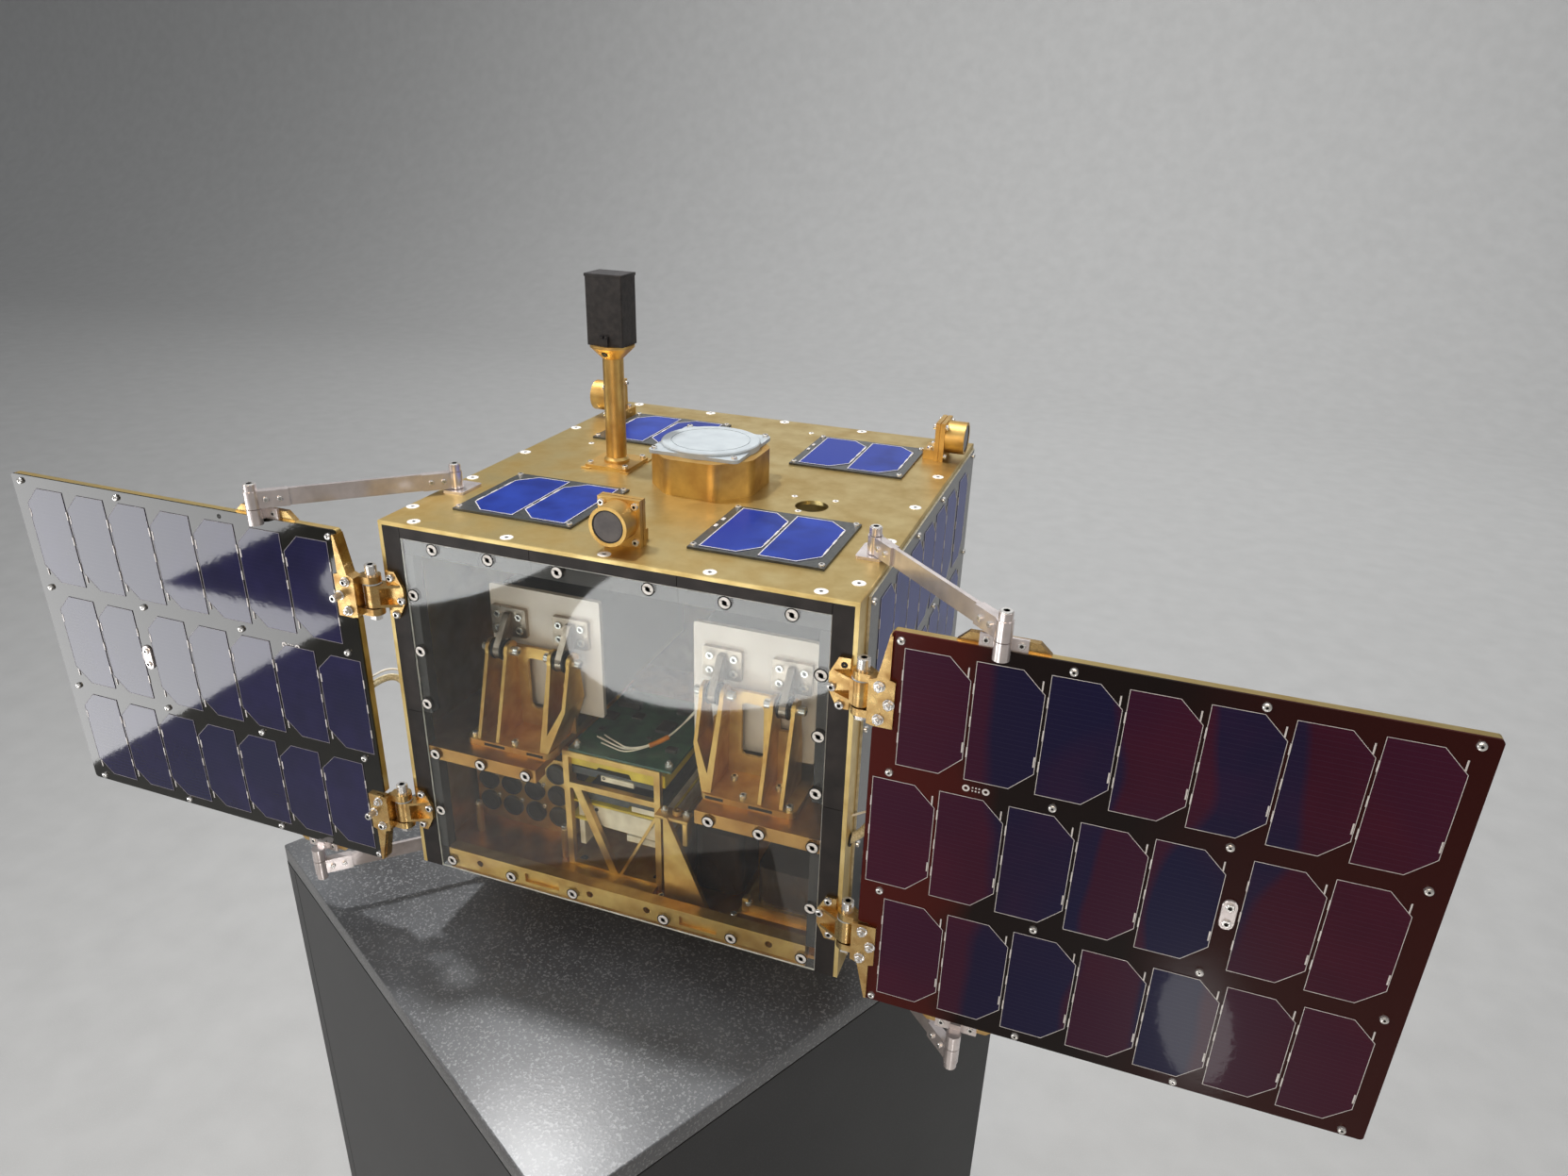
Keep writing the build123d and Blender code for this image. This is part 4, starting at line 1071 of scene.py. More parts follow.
@dataclass(frozen=True)
class CellFrame:
    """The printed silver line round a cell, with its thicker contact dashes.

    The dashes on the plain edge are listed by how far below the cell's upper edge they start, and how
    long they are. Those on the cropped side have how far out they stand before that.
    """

    line: float = 0.32
    proud: float = 0.12
    dash_wide: float = 0.9
    edge_dashes: tuple[XY, ...] = ((14.5, 7.0), (36.5, 7.0), (57.5, 7.0))
    side_dashes: tuple[XYZ, ...] = ((-2.0, 5.0, 6.5), (-1.0, 55.0, 7.0))
    dash_sink: float = 0.3
    dash_proud: float = 0.15
    dash_edge: float = 0.1

    def model(self, lines: Material, dashes: Material) -> Object:
        """Models one outline in the XY plane, centred on the cell, its cropped corners towards +X.

        Args:
            lines: the finish of the outline.
            dashes: the finish of the contact dashes.

        Returns:
            The prototype.
        """
        ring = added(bpy.ops.mesh.primitive_plane_add, size=1)
        for vertex in ring.data.vertices:
            vertex.co = Vector((vertex.co.x * CELL_W * MM, vertex.co.y * CELL_H * MM, 0))
        edit_with(ring, lambda polygon: False)
        edit_vertices(ring, lambda spot: spot.x > 0)
        bpy.ops.mesh.bevel(offset=CELL_CROP * MM, segments=1, affect="VERTICES")
        bpy.ops.mesh.select_mode(type="FACE")
        bpy.ops.mesh.select_all(action="SELECT")
        bpy.ops.mesh.inset(thickness=self.line * MM)
        bpy.ops.mesh.delete(type="FACE")
        bpy.ops.mesh.select_all(action="SELECT")
        extrude(self.proud * MM)
        face_outwards()
        spots = [(-CELL_W / 2, down, long) for down, long in self.edge_dashes]
        spots += [(CELL_W / 2 + out, down, long) for out, down, long in self.side_dashes]
        parts = [coat(self.dash(*spot), dashes) for spot in spots]
        return join([coat(ring, lines), *parts], "cell_frame")

    def dash(self, x: float, down: float, long: float) -> Object:
        """One contact dash.

        Args:
            x: its middle across the cell.
            down: how far below the cell's upper edge it starts.
            long: its length.

        Returns:
            The dash.
        """
        half = self.dash_wide / 2
        top, out = CELL_H / 2 - down, self.proud + self.dash_proud
        low = Vector(((x - half) * MM, (top - long) * MM, -self.dash_sink * MM))
        return box(low, Vector(((x + half) * MM, top * MM, out * MM)), self.dash_edge)


# Sub-assemblies


@dataclass
class Assembly:
    """A sub-assembly with the finishes that it is dressed in."""

    finish: Finishes

    def dress(self) -> None:
        """Gives the nodes their finishes and fits the small pieces."""

    def fasten(
        self, part: Part, name: str, places: Iterable[Place], slot: str = "steel",
        metal: Material | None = None, body: str = BUS,
    ) -> None:  # fmt: skip
        """Fits copies of a screw, nut or ring as one piece.

        Args:
            part: the screw, nut or ring.
            name: the piece's name.
            places: each copy's foot and the direction of its head.
            slot: the record's slot of the piece, handed on to fit.
            metal: the finish, steel where none is given.
            body: the body that the piece rides on.
        """
        materials = [metal or self.finish.steel]
        # A screw's socket gets the near black of painted shade.
        if isinstance(part, Screw):
            materials.append(self.finish.recess)
        fit(copies(coat(part.model(), *materials), upright(places), name), slot, *materials, body=body)

    def print_cells(
        self, frames: CellFrame, name: str, turns: Iterable[Matrix], lines: Material, body: str = BUS
    ) -> None:
        """Lays printed outlines on cells as one piece.

        Args:
            frames: the outline.
            name: the piece's name.
            turns: the place and turn of each cell.
            lines: the finish of the outlines, whose dashes are always bright.
            body: the body that the piece rides on.
        """
        prototype = frames.model(lines, self.finish.contact)
        materials = list(prototype.data.materials)
        fit(copies(prototype, turns, name), "silver_aluminium", *materials, body=body)


def outwards(side: Side, low: XYZ, high: XYZ, bevel_mm: float) -> Object:
    """A block on one side of the bus, with its X measured outwards from the middle."""
    near, far = sorted((side.value * low[0], side.value * high[0]))
    return box(at(near, *low[1:]), at(far, *high[1:]), bevel_mm)


@dataclass
class Plinth(Assembly):
    """The exhibition plinth: its rounded top slab, seams and the riser below the bus."""

    x: float = -43.0
    y: float = -58.0
    turn: float = -28.3
    width: float = 470.0
    depth: float = 460.0
    board: float = 18.0
    high: float = 1000.0
    round: float = 1.2
    seam: float = 0.8
    seam_proud: float = 0.15
    seam_back: float = 3.0
    seam_foot: float = 0.2
    seam_short: float = 1.0
    seam_edge: float = 0.05

    def spot(self) -> Matrix:
        """The plinth's place and turn on the floor."""
        turn = Matrix.Rotation(math.radians(self.turn), 4, "Z")
        return Matrix.Translation(Vector((self.x * MM, self.y * MM, 0))) @ turn

    def slab(self) -> None:
        """Replaces the top slab by one with worn, rounded edges."""
        half = Vector((self.width / 2 * MM, self.depth / 2 * MM, 0))
        low = -half + Vector((0, 0, (self.high - self.board) * MM))
        top = box(low, half + Vector((0, 0, self.high * MM)), self.round, 3)
        top = fit(join([placed(top, self.spot())], "plinth_slab"), "speckled_top", self.finish.plinth_top)
        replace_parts(top, "plinth_top")

    def seams(self) -> None:
        """Draws the dark seams where the side boards butt against each other and below the slab."""
        half_x, half_y = self.width / 2, self.depth / 2
        proud, back = self.seam_proud, self.seam_back
        top = self.high - self.board
        parts = []
        for reach_x, reach_y in ((half_x + proud, half_y - back), (half_x - back, half_y + proud)):
            high = Vector((reach_x, reach_y, top)) * MM
            parts.append(box(Vector((-high.x, -high.y, high.z - self.seam * MM)), high, self.seam_edge))
        size = (self.seam, 2 * proud, top - self.seam_short)
        for x, y in product((self.board - half_x, half_x - self.board), (-half_y - proud, half_y - proud)):
            parts.append(block_at(Vector((x, y, self.seam_foot)) * MM, size, self.seam_edge))
        parts = [placed(part, self.spot()) for part in parts]
        fit(join(parts, "plinth_seams"), "laminate_side", self.finish.recess)

    def dress(self) -> None:
        """Gives the plinth its finishes and fits its pieces."""
        side = self.finish.plinth_side
        paint(plinth_base=side, plinth_sides=side, riser=side)
        self.slab()
        self.seams()


@dataclass
class Shell(Assembly):
    """The bus walls, shelves and bottom plate, with the screws that hold them from behind and below."""

    screw: Screw = Screw(4.2, 0.35, 1.9, 0.15)
    sink: float = 0.05
    rear_x: tuple[float, ...] = (-165.0, -82.0, 0.0, 82.0, 165.0)
    rear_z: tuple[float, ...] = (8.0, 100.0, 192.0, 285.0)
    under_x: XY = (-165.0, 165.0)
    under_y: tuple[float, ...] = (-173.0, -50.0, 70.0, 184.0)

    def dress(self) -> None:
        """Gives the shell its finishes and screws, those of the rear wall along its edges."""
        made = self.finish
        paint(side_walls=made.gold, rear_wall=made.gold, bottom_plate=made.gold_inner)
        paint(shelves=made.gold_inner, hinge_knuckles=made.gold_fitting, brace_feet=made.silver)
        edge_z = (self.rear_z[0], self.rear_z[-1])
        grid = product(self.rear_x, self.rear_z)
        rear = [(x, REAR_FACE - self.sink, z) for x, z in grid if x in self.under_x or z in edge_z]
        under = [(x, y, self.sink) for x, y in product(self.under_x, self.under_y)]
        self.fasten(self.screw, "shell_screws", facing(Facing.BACK, rear) + facing(Facing.DOWN, under))


@dataclass
class Deck(Assembly):
    """The top plate with its screws and solar boards."""

    countersunk: Screw = Screw(4.6, 0.35, 1.4, 0.15)
    small_screw: Screw = Screw(2.4, 0.4, 1.1, 0.15)
    board_screw: Screw = Screw(2.3, 1.5, 1.1, 0.3)
    sink: float = 0.1
    dashes: ClassVar[tuple[XYZ, ...]] = ((-0.3, 16.0, 9.0), (-0.3, 34.0, 8.0), (-0.3, 52.0, 9.0))
    frames: CellFrame = CellFrame(0.7, 0.12, 1.5, (), dashes)
    screws: tuple[XY, ...] = (
        (-150, -173), (-75, -173), (-1, -173), (74, -173), (148, -173),
        (-170, -148), (-170, -75), (-170, 0), (-170, 84),
        (166, -152), (166, -75), (166, 0), (166, 80),
        (-157, 184), (-80, 184), (-4, 184), (72, 184), (150, 184),
    )  # fmt: skip
    small: tuple[XY, ...] = ((107, -11), (75, -13), (115, -62), (88, -43), (31, 159), (-133, 46))
    boards: tuple[tuple[int, float], ...] = ((-1, -98.5), (1, -98.5), (-1, 105.0), (1, 105.0))
    board_x: float = 92.0
    board_high: float = 1.6
    cell_high: float = 1.95
    corner: XY = (45.0, 40.0)
    pad: XYZ = (2.6, 4.4, 0.9)
    pad_in: float = 46.5
    pads_along: XY = (-1.0, 13.0)

    def cell_frames(self) -> None:
        """Lays the silver outlines on the deck cells."""
        turns = []
        for (side, y), half in product(self.boards, SIGNS):
            centre = at(side * self.board_x + half * CELL_PITCH / 2, y, BUS_TOP + self.cell_high)
            turns.append(laid(centre, Vector((side, 0, 0)), Facing.UP.vector))
        self.print_cells(self.frames, "deck_cell_frames", turns, self.finish.contact)

    def solder(self) -> None:
        """Sets two solder blobs on the inner edge strip of each right board."""
        parts = []
        for (side, y), along in product(self.boards, self.pads_along):
            if side > 0:
                low = at(self.board_x - self.pad_in, y + along - self.pad[1] / 2, BUS_TOP + self.board_high)
                parts.append(block_at(low, self.pad, 0.4, 2))
        fit(join(parts, "deck_solder_pads"), "silver_aluminium", self.finish.contact)

    def dress(self) -> None:
        """Gives the deck its finishes and screws."""
        paint(top_plate=self.finish.gold, body_boards=self.finish.board_grey, body_cells=self.finish.cell_top)
        sunk = (self.countersunk, "deck_screws", self.screws)
        for screw, name, table in (sunk, (self.small_screw, "deck_small_screws", self.small)):
            places = facing(Facing.UP, ((x, y, BUS_TOP - self.sink) for x, y in table))
            self.fasten(screw, name, places, metal=self.finish.zinc)
        wide, deep = self.corner
        corners = [
            (side * self.board_x + across * wide, y + along * deep, BUS_TOP + self.board_high)
            for (side, y), across, along in product(self.boards, SIGNS, SIGNS)
        ]
        self.fasten(self.board_screw, "deck_board_screws", facing(Facing.UP, corners))
        self.cell_frames()
        self.solder()


@dataclass
class Masthead(Assembly):
    """The mast with its sensor box, and the antenna beside it."""

    mast: XY = (-85.3, 3.2)
    screw: Screw = Screw(2.4, 2.2, 1.2, 0.35)
    base_span: float = 15.5
    base_top: float = 3.0
    ear_plate: float = 42.5
    ear: float = 7.0
    dip: float = 1.6
    foot_high: float = 1.2
    foot_edge: float = 0.2
    hole: Ring = Ring(2.6, 0.4, 0.5)
    hole_spot: XYZ = (0.0, -13.2, 91.8)
    hole_way: XYZ = (0.0, -0.69, -0.72)
    bump: Ring = Ring(1.7, 0.3, 2.2)
    bump_spots: tuple[XYZ, ...] = ((-2.0, -13.0, 103.8), (2.0, -13.0, 103.8))
    collar: tuple[XYZ, XYZ] = ((-15.8, -12.3, 149.6), (15.8, 12.3, 151.95))
    antenna: XY = (1.5, -3.5)
    antenna_span: float = 32.8
    antenna_top: float = 30.6

    def by_mast(self, x: float, y: float, z: float) -> XYZ:
        """A point beside the mast's axis, at a height above the deck, in the bus frame."""
        return (self.mast[0] + x, self.mast[1] + y, BUS_TOP + z)

    def four(self, middle: XY, span: float, z: float) -> list[Place]:
        """The places of four screws round a middle, at a height above the deck."""
        spots = ((middle[0] + i * span, middle[1] + j * span) for i, j in product(SIGNS, SIGNS))
        return facing(Facing.UP, ((x, y, BUS_TOP + z) for x, y in spots))

    def base(self) -> None:
        """Adds the thin lower plate of the mast foot, with its corner ears, and its screws."""
        half = self.ear_plate / 2
        notch, slope, inner = half - self.ear, half - self.ear - self.dip, half - self.dip
        side = [(-half, -half), (-notch, -half), (-slope, -inner), (slope, -inner), (notch, -half)]
        points = []
        for _ in range(4):
            points += side
            side = [(-y, x) for x, y in side]
        foot = plate(points, self.foot_high, self.foot_edge)
        foot = placed(foot, Matrix.Translation(at(*self.mast, BUS_TOP)))
        fit(join([foot], "mast_foot_plate"), "gold_aluminium", self.finish.gold_milled)
        self.fasten(self.screw, "mast_base_screws", self.four(self.mast, self.base_span, self.base_top))

    def head(self) -> None:
        """Adds a near-black disc of painted shade for the hole in the flared collar, the two-bump clip and
        the collar of the sensor box.
        """
        printed = self.finish.black_print
        # Painted shade: a near-black disc stands for the hole in the collar.
        hole = (at(*self.by_mast(*self.hole_spot)), Vector(self.hole_way))
        self.fasten(self.hole, "mast_collar_hole_shade", [hole], "black_plastic", self.finish.recess)
        bumps = facing(Facing.UP, (self.by_mast(*spot) for spot in self.bump_spots))
        self.fasten(self.bump, "mast_box_clip", bumps, "black_plastic", printed)
        collar = box(*(at(*self.by_mast(*corner)) for corner in self.collar), 0.3, 2)
        fit(join([collar], "mast_box_collar"), "black_plastic", printed)

    def dress(self) -> None:
        """Gives the mast and the antenna their finishes and small pieces."""
        made = self.finish
        paint(antenna_housing=made.gold_milled, mast=made.gold_milled, sun_sensors=made.gold_milled)
        paint(patch_antenna=made.white, mast_sensor=made.black_print, sun_lenses=made.lens)
        self.base()
        self.head()
        corners = self.four(self.antenna, self.antenna_span, self.antenna_top)
        self.fasten(self.screw, "antenna_screws", corners)


@dataclass
class SunSensor(Assembly):
    """One sun sensor: the screws of its flanges and foot, its window and the dark ring round that."""

    name: str
    spot: Spot
    screw: Screw = Screw(2.4, 2.4, 1.2, 0.35)
    corners: tuple[XY, ...] = ((-12.3, 4.2), (12.3, 4.2), (-12.3, 29.2), (12.3, 29.2))
    flange_deep: float = 8.0
    foot_deep: float = 5.0
    foot_x: XY = (8.0, -8.0)
    axis_high: float = 18.5
    window: float = 13.5
    glass: float = 2.2
    glass_size: XY = (22.7, 22.8)
    glass_steps: int = 16
    glass_sink: float = 0.2
    ring: Ring = Ring(11.35, 10.5, 0.4)
    ring_sink: float = 0.3

    def dress(self) -> None:
        """Fits the screws, the window and the ring."""
        point, back = self.spot.point, self.flange_deep
        front = self.spot.way(0, -1)
        places = [(point(x, 0, z), front) for x, z in self.corners]
        places += [(point(x, back, z), -front) for x, z in self.corners[2:]]
        places += [(point(x, back + self.foot_deep, back), Facing.UP.vector) for x in self.foot_x]
        self.fasten(self.screw, f"sun_sensor_screws_{self.name}", places)
        seat = point(0, -self.window + self.glass_sink, self.axis_high)
        seat = laid(seat, self.spot.way(1, 0), front)
        disc = placed(plate(stadium(*self.glass_size, self.glass_steps), self.glass, 0.3), seat)
        fit(join([disc], f"sun_sensor_window_{self.name}"), "lens_glass", self.finish.lens)
        lip = (point(0, -self.window - self.glass + self.ring_sink, self.axis_high), front)
        self.fasten(self.ring, f"sun_sensor_ring_{self.name}", [lip], "black_plastic", self.finish.recess)


@dataclass
class SideArray(Assembly):
    """The solar board on one side of the bus."""

    side: Side
    face: float = 176.95
    board_face: float = 176.6
    high: float = 290.0
    rows: tuple[XYZ, ...] = ((51.8, -135.0, 7.4), (143.8, -126.7, 0.0), (235.8, -135.0, 7.4))
    bolt: Screw = Screw(2.6, 2.0, 1.2, 0.7, 2)
    bolt_y: tuple[float, ...] = (-155.0, -33.0, 52.0, 181.0)
    bolt_z: tuple[float, ...] = (285.0, 192.5, 100.0, 9.5)
    edges: tuple[tuple[XYZ, XYZ], ...] = (
        ((175.0, -160.2, 289.8), (176.7, 187.2, 290.4)),
        ((175.0, -160.4, 4.0), (176.7, -159.9, 290.2)),
    )

    def dress(self) -> None:
        """Lays the outlines on the cells and fits the bolts and the pale board edge."""
        sign, word = self.side.value, self.side.word
        out = Vector((sign, 0, 0))
        turns = []
        for (below, first, gap), column in product(self.rows, range(COLUMNS)):
            y = first + CELL_W / 2 + column * CELL_PITCH + (gap if column == 6 else 0)
            turns.append(laid(at(sign * self.face, y, self.high - below), Facing.BACK.vector, out))
        self.print_cells(CellFrame(), f"side_cell_frames_{word}", turns, self.finish.contact)
        bolts = [(at(sign * self.board_face, y, z), out) for y, z in product(self.bolt_y, self.bolt_z)]
        self.fasten(self.bolt, f"side_board_bolts_{word}", bolts)
        edges = [outwards(self.side, low, high, 0.1) for low, high in self.edges]
        fit(join(edges, f"side_board_edge_{word}"), "cell_board", self.finish.board_edge)


@dataclass
class FrontPanel(Assembly):
    """The clear panel with its countersunk screws and a painted shadow ring round each, in its black frame
    above the rail.
    """

    half: float = 157.8
    low: float = 0.3
    high: float = 282.8
    thick: float = 2.7
    edge: float = 0.3
    screw: Screw = Screw(4.0, 0.35, 1.9, 0.12)
    # A thin near-black ring round each screw head: a painted shadow of the countersink.
    sink: Ring = Ring(4.8, 3.9, 0.12)
    screws: tuple[XY, ...] = (
        (-132, 278), (-87, 278), (-33.5, 278), (33.5, 278), (87, 278), (132, 278),
        (-152.5, 240), (-152.5, 195), (-152.5, 151), (-152.5, 55),
        (152.5, 240), (152.5, 195), (152.5, 151), (152.5, 55),
        (-151, 107), (-111, 107), (-72, 107), (75, 107), (113, 107), (152, 107),
        (-147.5, 8), (-93, 8), (-38.5, 8), (38.5, 8), (93, 8), (147.5, 8),
    )  # fmt: skip

    def sheet(self) -> None:
        """Replaces the panel by a sheet with frosted edges, a hair clear of what is behind it."""
        low = at(-self.half, PANEL_FACE, self.low)
        sheet = box(low, at(self.half, PANEL_FACE + self.thick, self.high), self.edge)
        for polygon in sheet.data.polygons:
            polygon.material_index = 0 if abs(polygon.normal.y) > 0.9 else 1
        sheet = join([sheet], "clear_front_sheet")
        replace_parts(fit(sheet, "clear_panel", self.finish.clear, self.finish.clear_edge), "clear_panel")

    def dress(self) -> None:
        """Gives the front its finishes, its sheet, its screws and their painted shadow rings."""
        made = self.finish
        paint(front_frame=made.black_frame, front_rail=made.gold_milled, clear_panel=made.clear)
        self.sheet()
        heads = facing(Facing.FRONT, ((x, PANEL_FACE + 0.05, z) for x, z in self.screws))
        self.fasten(self.screw, "panel_screws", heads, metal=made.zinc)
        # Painted shadow: a near-black ring round each screw head.
        seats = facing(Facing.FRONT, ((x, PANEL_FACE + 0.04, z) for x, z in self.screws))
        self.fasten(self.sink, "panel_screw_shadow_rings", seats, "black_plastic", made.recess)


@dataclass
class Payload(Assembly):
    """The two payload boxes behind their white plates, hung by arms between the ribs."""

    pin_y: float = -134.0
    pin_z: float = 184.0
    eyes: XY = (61.5, 114.5)
    eye_half: float = 2.5
    rib_out: float = 9.4
    spacer: Ring = Ring(8.5, 2.6, 2.0)
    pin: Screw = Screw(3.6, 6.0, 1.7, 0.6)
    plate_face: float = -122.0
    plate_screw: Screw = Screw(3.1, 1.4, 1.5, 0.4)
    plate_spots: tuple[XY, ...] = ((-9.3, 206.5), (9.3, 206.5), (-9.3, 195.0), (9.3, 195.0))
    foot_screw: Screw = Screw(2.7, 3.2, 1.4, 0.4)
    foot_high: float = 118.0
    foot_spots: tuple[XY, ...] = ((78.5, -138), (93, -157.5), (128, -157.5), (113, -138), (97, -103))
    slots: tuple[XY, ...] = ((66, 80), (99, 117))

    def pin_ends(self, reach: float) -> list[Place]:
        """Places on both sides of each eye, some way out along its pin."""
        spots = ((side.value * eye, out) for side, eye, out in product(Side, self.eyes, SIGNS))
        return [(at(x + out * reach, self.pin_y, self.pin_z), out * Facing.RIGHT.vector) for x, out in spots]

    def dress(self) -> None:
        """Gives the payload its finishes, spacers, pins and screws, and near-black slots of painted shade in
        the bracket feet.
        """
        made = self.finish
        paint(rib_brackets=made.gold_milled, payload_plates=made.silver_sheet)
        paint(payload_arms=made.silver_cast, payload_boxes=made.black_housing)
        spacers = self.pin_ends(self.eye_half)
        self.fasten(self.spacer, "payload_spacers", spacers, "black_aluminium", made.black_housing)
        self.fasten(self.pin, "payload_pin_heads", self.pin_ends(self.rib_out))
        # Painted shade: near-black strips stand for the slots in the bracket feet.
        slots = [
            outwards(side, (start, -163.08, 114.4), (end, -162.7, 116.8), 0.05)
            for side, (start, end) in product(Side, self.slots)
        ]
        fit(join(slots, "bracket_foot_slot_shades"), "gold_aluminium", made.recess)
        spots = product(Side, self.eyes, self.plate_spots)
        heads = ((side.value * eye + dx, self.plate_face, z) for side, eye, (dx, z) in spots)
        self.fasten(self.plate_screw, "payload_plate_screws", facing(Facing.FRONT, heads))
        feet = ((side.value * x, y, self.foot_high) for side, (x, y) in product(Side, self.foot_spots))
        self.fasten(self.foot_screw, "bracket_foot_screws", facing(Facing.UP, feet))


@dataclass
class CardCage(Assembly):
    """The card cage: its notched cards, the board on top with its chips, and the wires across it."""

    front: float = -141.0
    back: float = -58.0
    board_top: float = 116.0
    yellow_cards: tuple[tuple[XY, ...], ...] = (
        (
            (-62, 99.5), (-34, 99.5), (-32, 101.5), (-6, 101.5), (-4, 97.0), (24, 97.0), (24, 107.5),
            (-62, 107.5),
        ),
        ((-60, 64.6), (23, 64.6), (23, 66.4), (-60, 66.4)),
        ((-60, 47.4), (-41, 47.4), (-41, 49.4), (-60, 49.4)),
    )  # fmt: skip
    grey_cards: tuple[tuple[XY, ...], ...] = (
        (
            (-60, 91.5), (-35, 91.5), (-33, 95.0), (-3, 95.0), (-1, 92.0), (22, 92.0), (22, 96.0),
            (-31, 98.0), (-60, 98.0),
        ),
        ((-46, 69.5), (-9, 69.5), (-7, 72.0), (20, 72.0), (20, 76.5), (-46, 76.5)),
    )  # fmt: skip
    cream_cards: tuple[tuple[XY, ...], ...] = (
        ((-31, 89.0), (-3, 89.0), (-3, 93.5), (-31, 93.5)),
        ((-6, 66.9), (22, 66.9), (22, 71.5), (-6, 71.5)),
        ((-40, 50.0), (-31, 45.0), (23, 43.5), (23, 61.5), (-40, 63.5)),
        ((-12, 36.5), (23, 36.5), (23, 42.0), (-12, 42.0)),
        ((-54, 22.0), (-49.5, 22.0), (-49.5, 62.0), (-54, 62.0)),
    )
    card_step: float = 0.8
    group_step: float = 0.6
    holes: tuple[XY, ...] = ((-28.5, 91.8), (-36.5, 60.5), (10.5, 57.5), (17.0, 58.0))
    hole: Ring = Ring(1.5, 0.2, 0.9)
    hole_deep: float = 2.1
    chips: tuple[tuple[float, ...], ...] = (
        (-48, -92, 14, 10, 2.2), (-26, -84, 9, 9, 1.6), (2, -92, 12, 16, 2.6), (20, -120, 9, 6, 3.0),
        (-40, -72, 20, 6, 5.0), (8, -66, 16, 7, 4.0), (-44, -112, 5, 4, 1.4), (-4, -110, 4, 3, 1.2),
    )  # fmt: skip
    standoffs: tuple[XY, ...] = ((-50, -140), (27, -140), (-50, -52), (27, -52))
    standoff: Nut = Nut(3.1, 3.4, 1.7, 2.2)
    strands: tuple[XYZ, ...] = (
        (0.0, 0.0, 0.0), (2.6, 2.4, 1.1), (5.2, -7.5, 0.5), (3.4, -4.2, 2.0), (-1.2, -2.2, 1.6),
        (6.5, -1.0, 2.4),
    )  # fmt: skip
    wire_radius: float = 0.55
    tape: tuple[XYZ, ...] = ((3.5, -125, 120.4), (8.5, -118.8, 121.2), (13, -111.5, 122.4))
    tape_radius: float = 2.0
    floor_hole: Ring = Ring(3.2, 0.3, 0.2)
    floor_holes: tuple[XYZ, ...] = ((-51.5, -137, 8.0), (13.5, -137, 8.0))

    def cards(self) -> None:
        """Replaces the plain cards by notched ones, each cut to its outline and as deep as the cage."""
        seat = laid(at(0, self.back, 0), Facing.RIGHT.vector, Facing.FRONT.vector)
        finishes = (self.finish.yellow, self.finish.board_grey, self.finish.cream)
        groups = (self.yellow_cards, self.grey_cards, self.cream_cards)
        parts = []
        for index, (group, group_finish) in enumerate(zip(groups, finishes)):
            for step, outline in enumerate(group):
                deep = self.back - self.front - self.card_step * step - self.group_step * index
                parts.append(coat(placed(plate(outline, deep), seat), group_finish))
        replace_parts(fit(join(parts, "cage_card_stack"), "green_board", *finishes), "cage_cards")
        # Painted shade: near-black discs stand for the holes in the cards.
        holes = facing(Facing.FRONT, ((x, self.front + self.hole_deep, z) for x, z in self.holes))
        self.fasten(self.hole, "cage_card_hole_shades", holes, "green_board", self.finish.recess)

    def board(self) -> None:
        """Fits the chips and connectors and the hexagon standoffs on the upper board."""
        parts = [
            block_at(at(x - wide / 2, y - deep / 2, self.board_top), (wide, deep, high), 0.3)
            for x, y, wide, deep, high in self.chips
        ]
        fit(join(parts, "upper_board_chips"), "black_plastic", self.finish.black_print)
        places = facing(Facing.UP, ((x, y, self.board_top) for x, y in self.standoffs))
        self.fasten(self.standoff, "upper_board_standoffs", places)

    def wires(self) -> None:
        """Lays the white wires that fan out over the board, and the amber tape round them."""
        parts = []
        for dx, dy, dz in self.strands:
            path = [
                at(-39 + dx, -124 + dy, 117.5 + dz),
                at(-27 + dx, -130 + dy * 0.8, 118.5 + dz),
                at(-13 + dx * 0.5, -134 + dy * 0.5, 118.2 + dz * 0.7),
                at(2, -126.5 + dy * 0.12, 119.6 + dz * 0.4),
                at(12, -113 + dy * 0.12, 121.2 + dz * 0.4),
                at(18 + dz * 0.4, -99 + dy * 0.1, 126 + dz * 0.5),
                at(26 + dz * 0.4, -88, 137 - dx * 0.2),
                at(38, -84 - dz, 153 - dx * 0.2),
                at(50.5, -90 - dz, 168 - dx * 0.3),
            ]
            parts.append(strand(path, self.wire_radius, 1))
        fit(join(parts, "upper_board_wires"), "cable_jacket", self.finish.wire, smooth_deg=ROUND_DEG)
        tape = strand([at(*point) for point in self.tape], self.tape_radius, 2)
        tape = join([tape], "upper_board_wire_tape")
        fit(tape, "cable_jacket", self.finish.tape, smooth_deg=ROUND_DEG)

    def dress(self) -> None:
        """Gives the cage its finishes and small pieces."""
        made = self.finish
        paint(card_cage=made.gold_milled, cage_cards=made.cream, main_board=made.green)
        self.cards()
        self.board()
        self.wires()
        # Painted shade: near-black discs stand for the holes in the floor.
        holes = facing(Facing.UP, self.floor_holes)
        self.fasten(self.floor_hole, "cage_floor_hole_shades", holes, "gold_aluminium", made.recess)


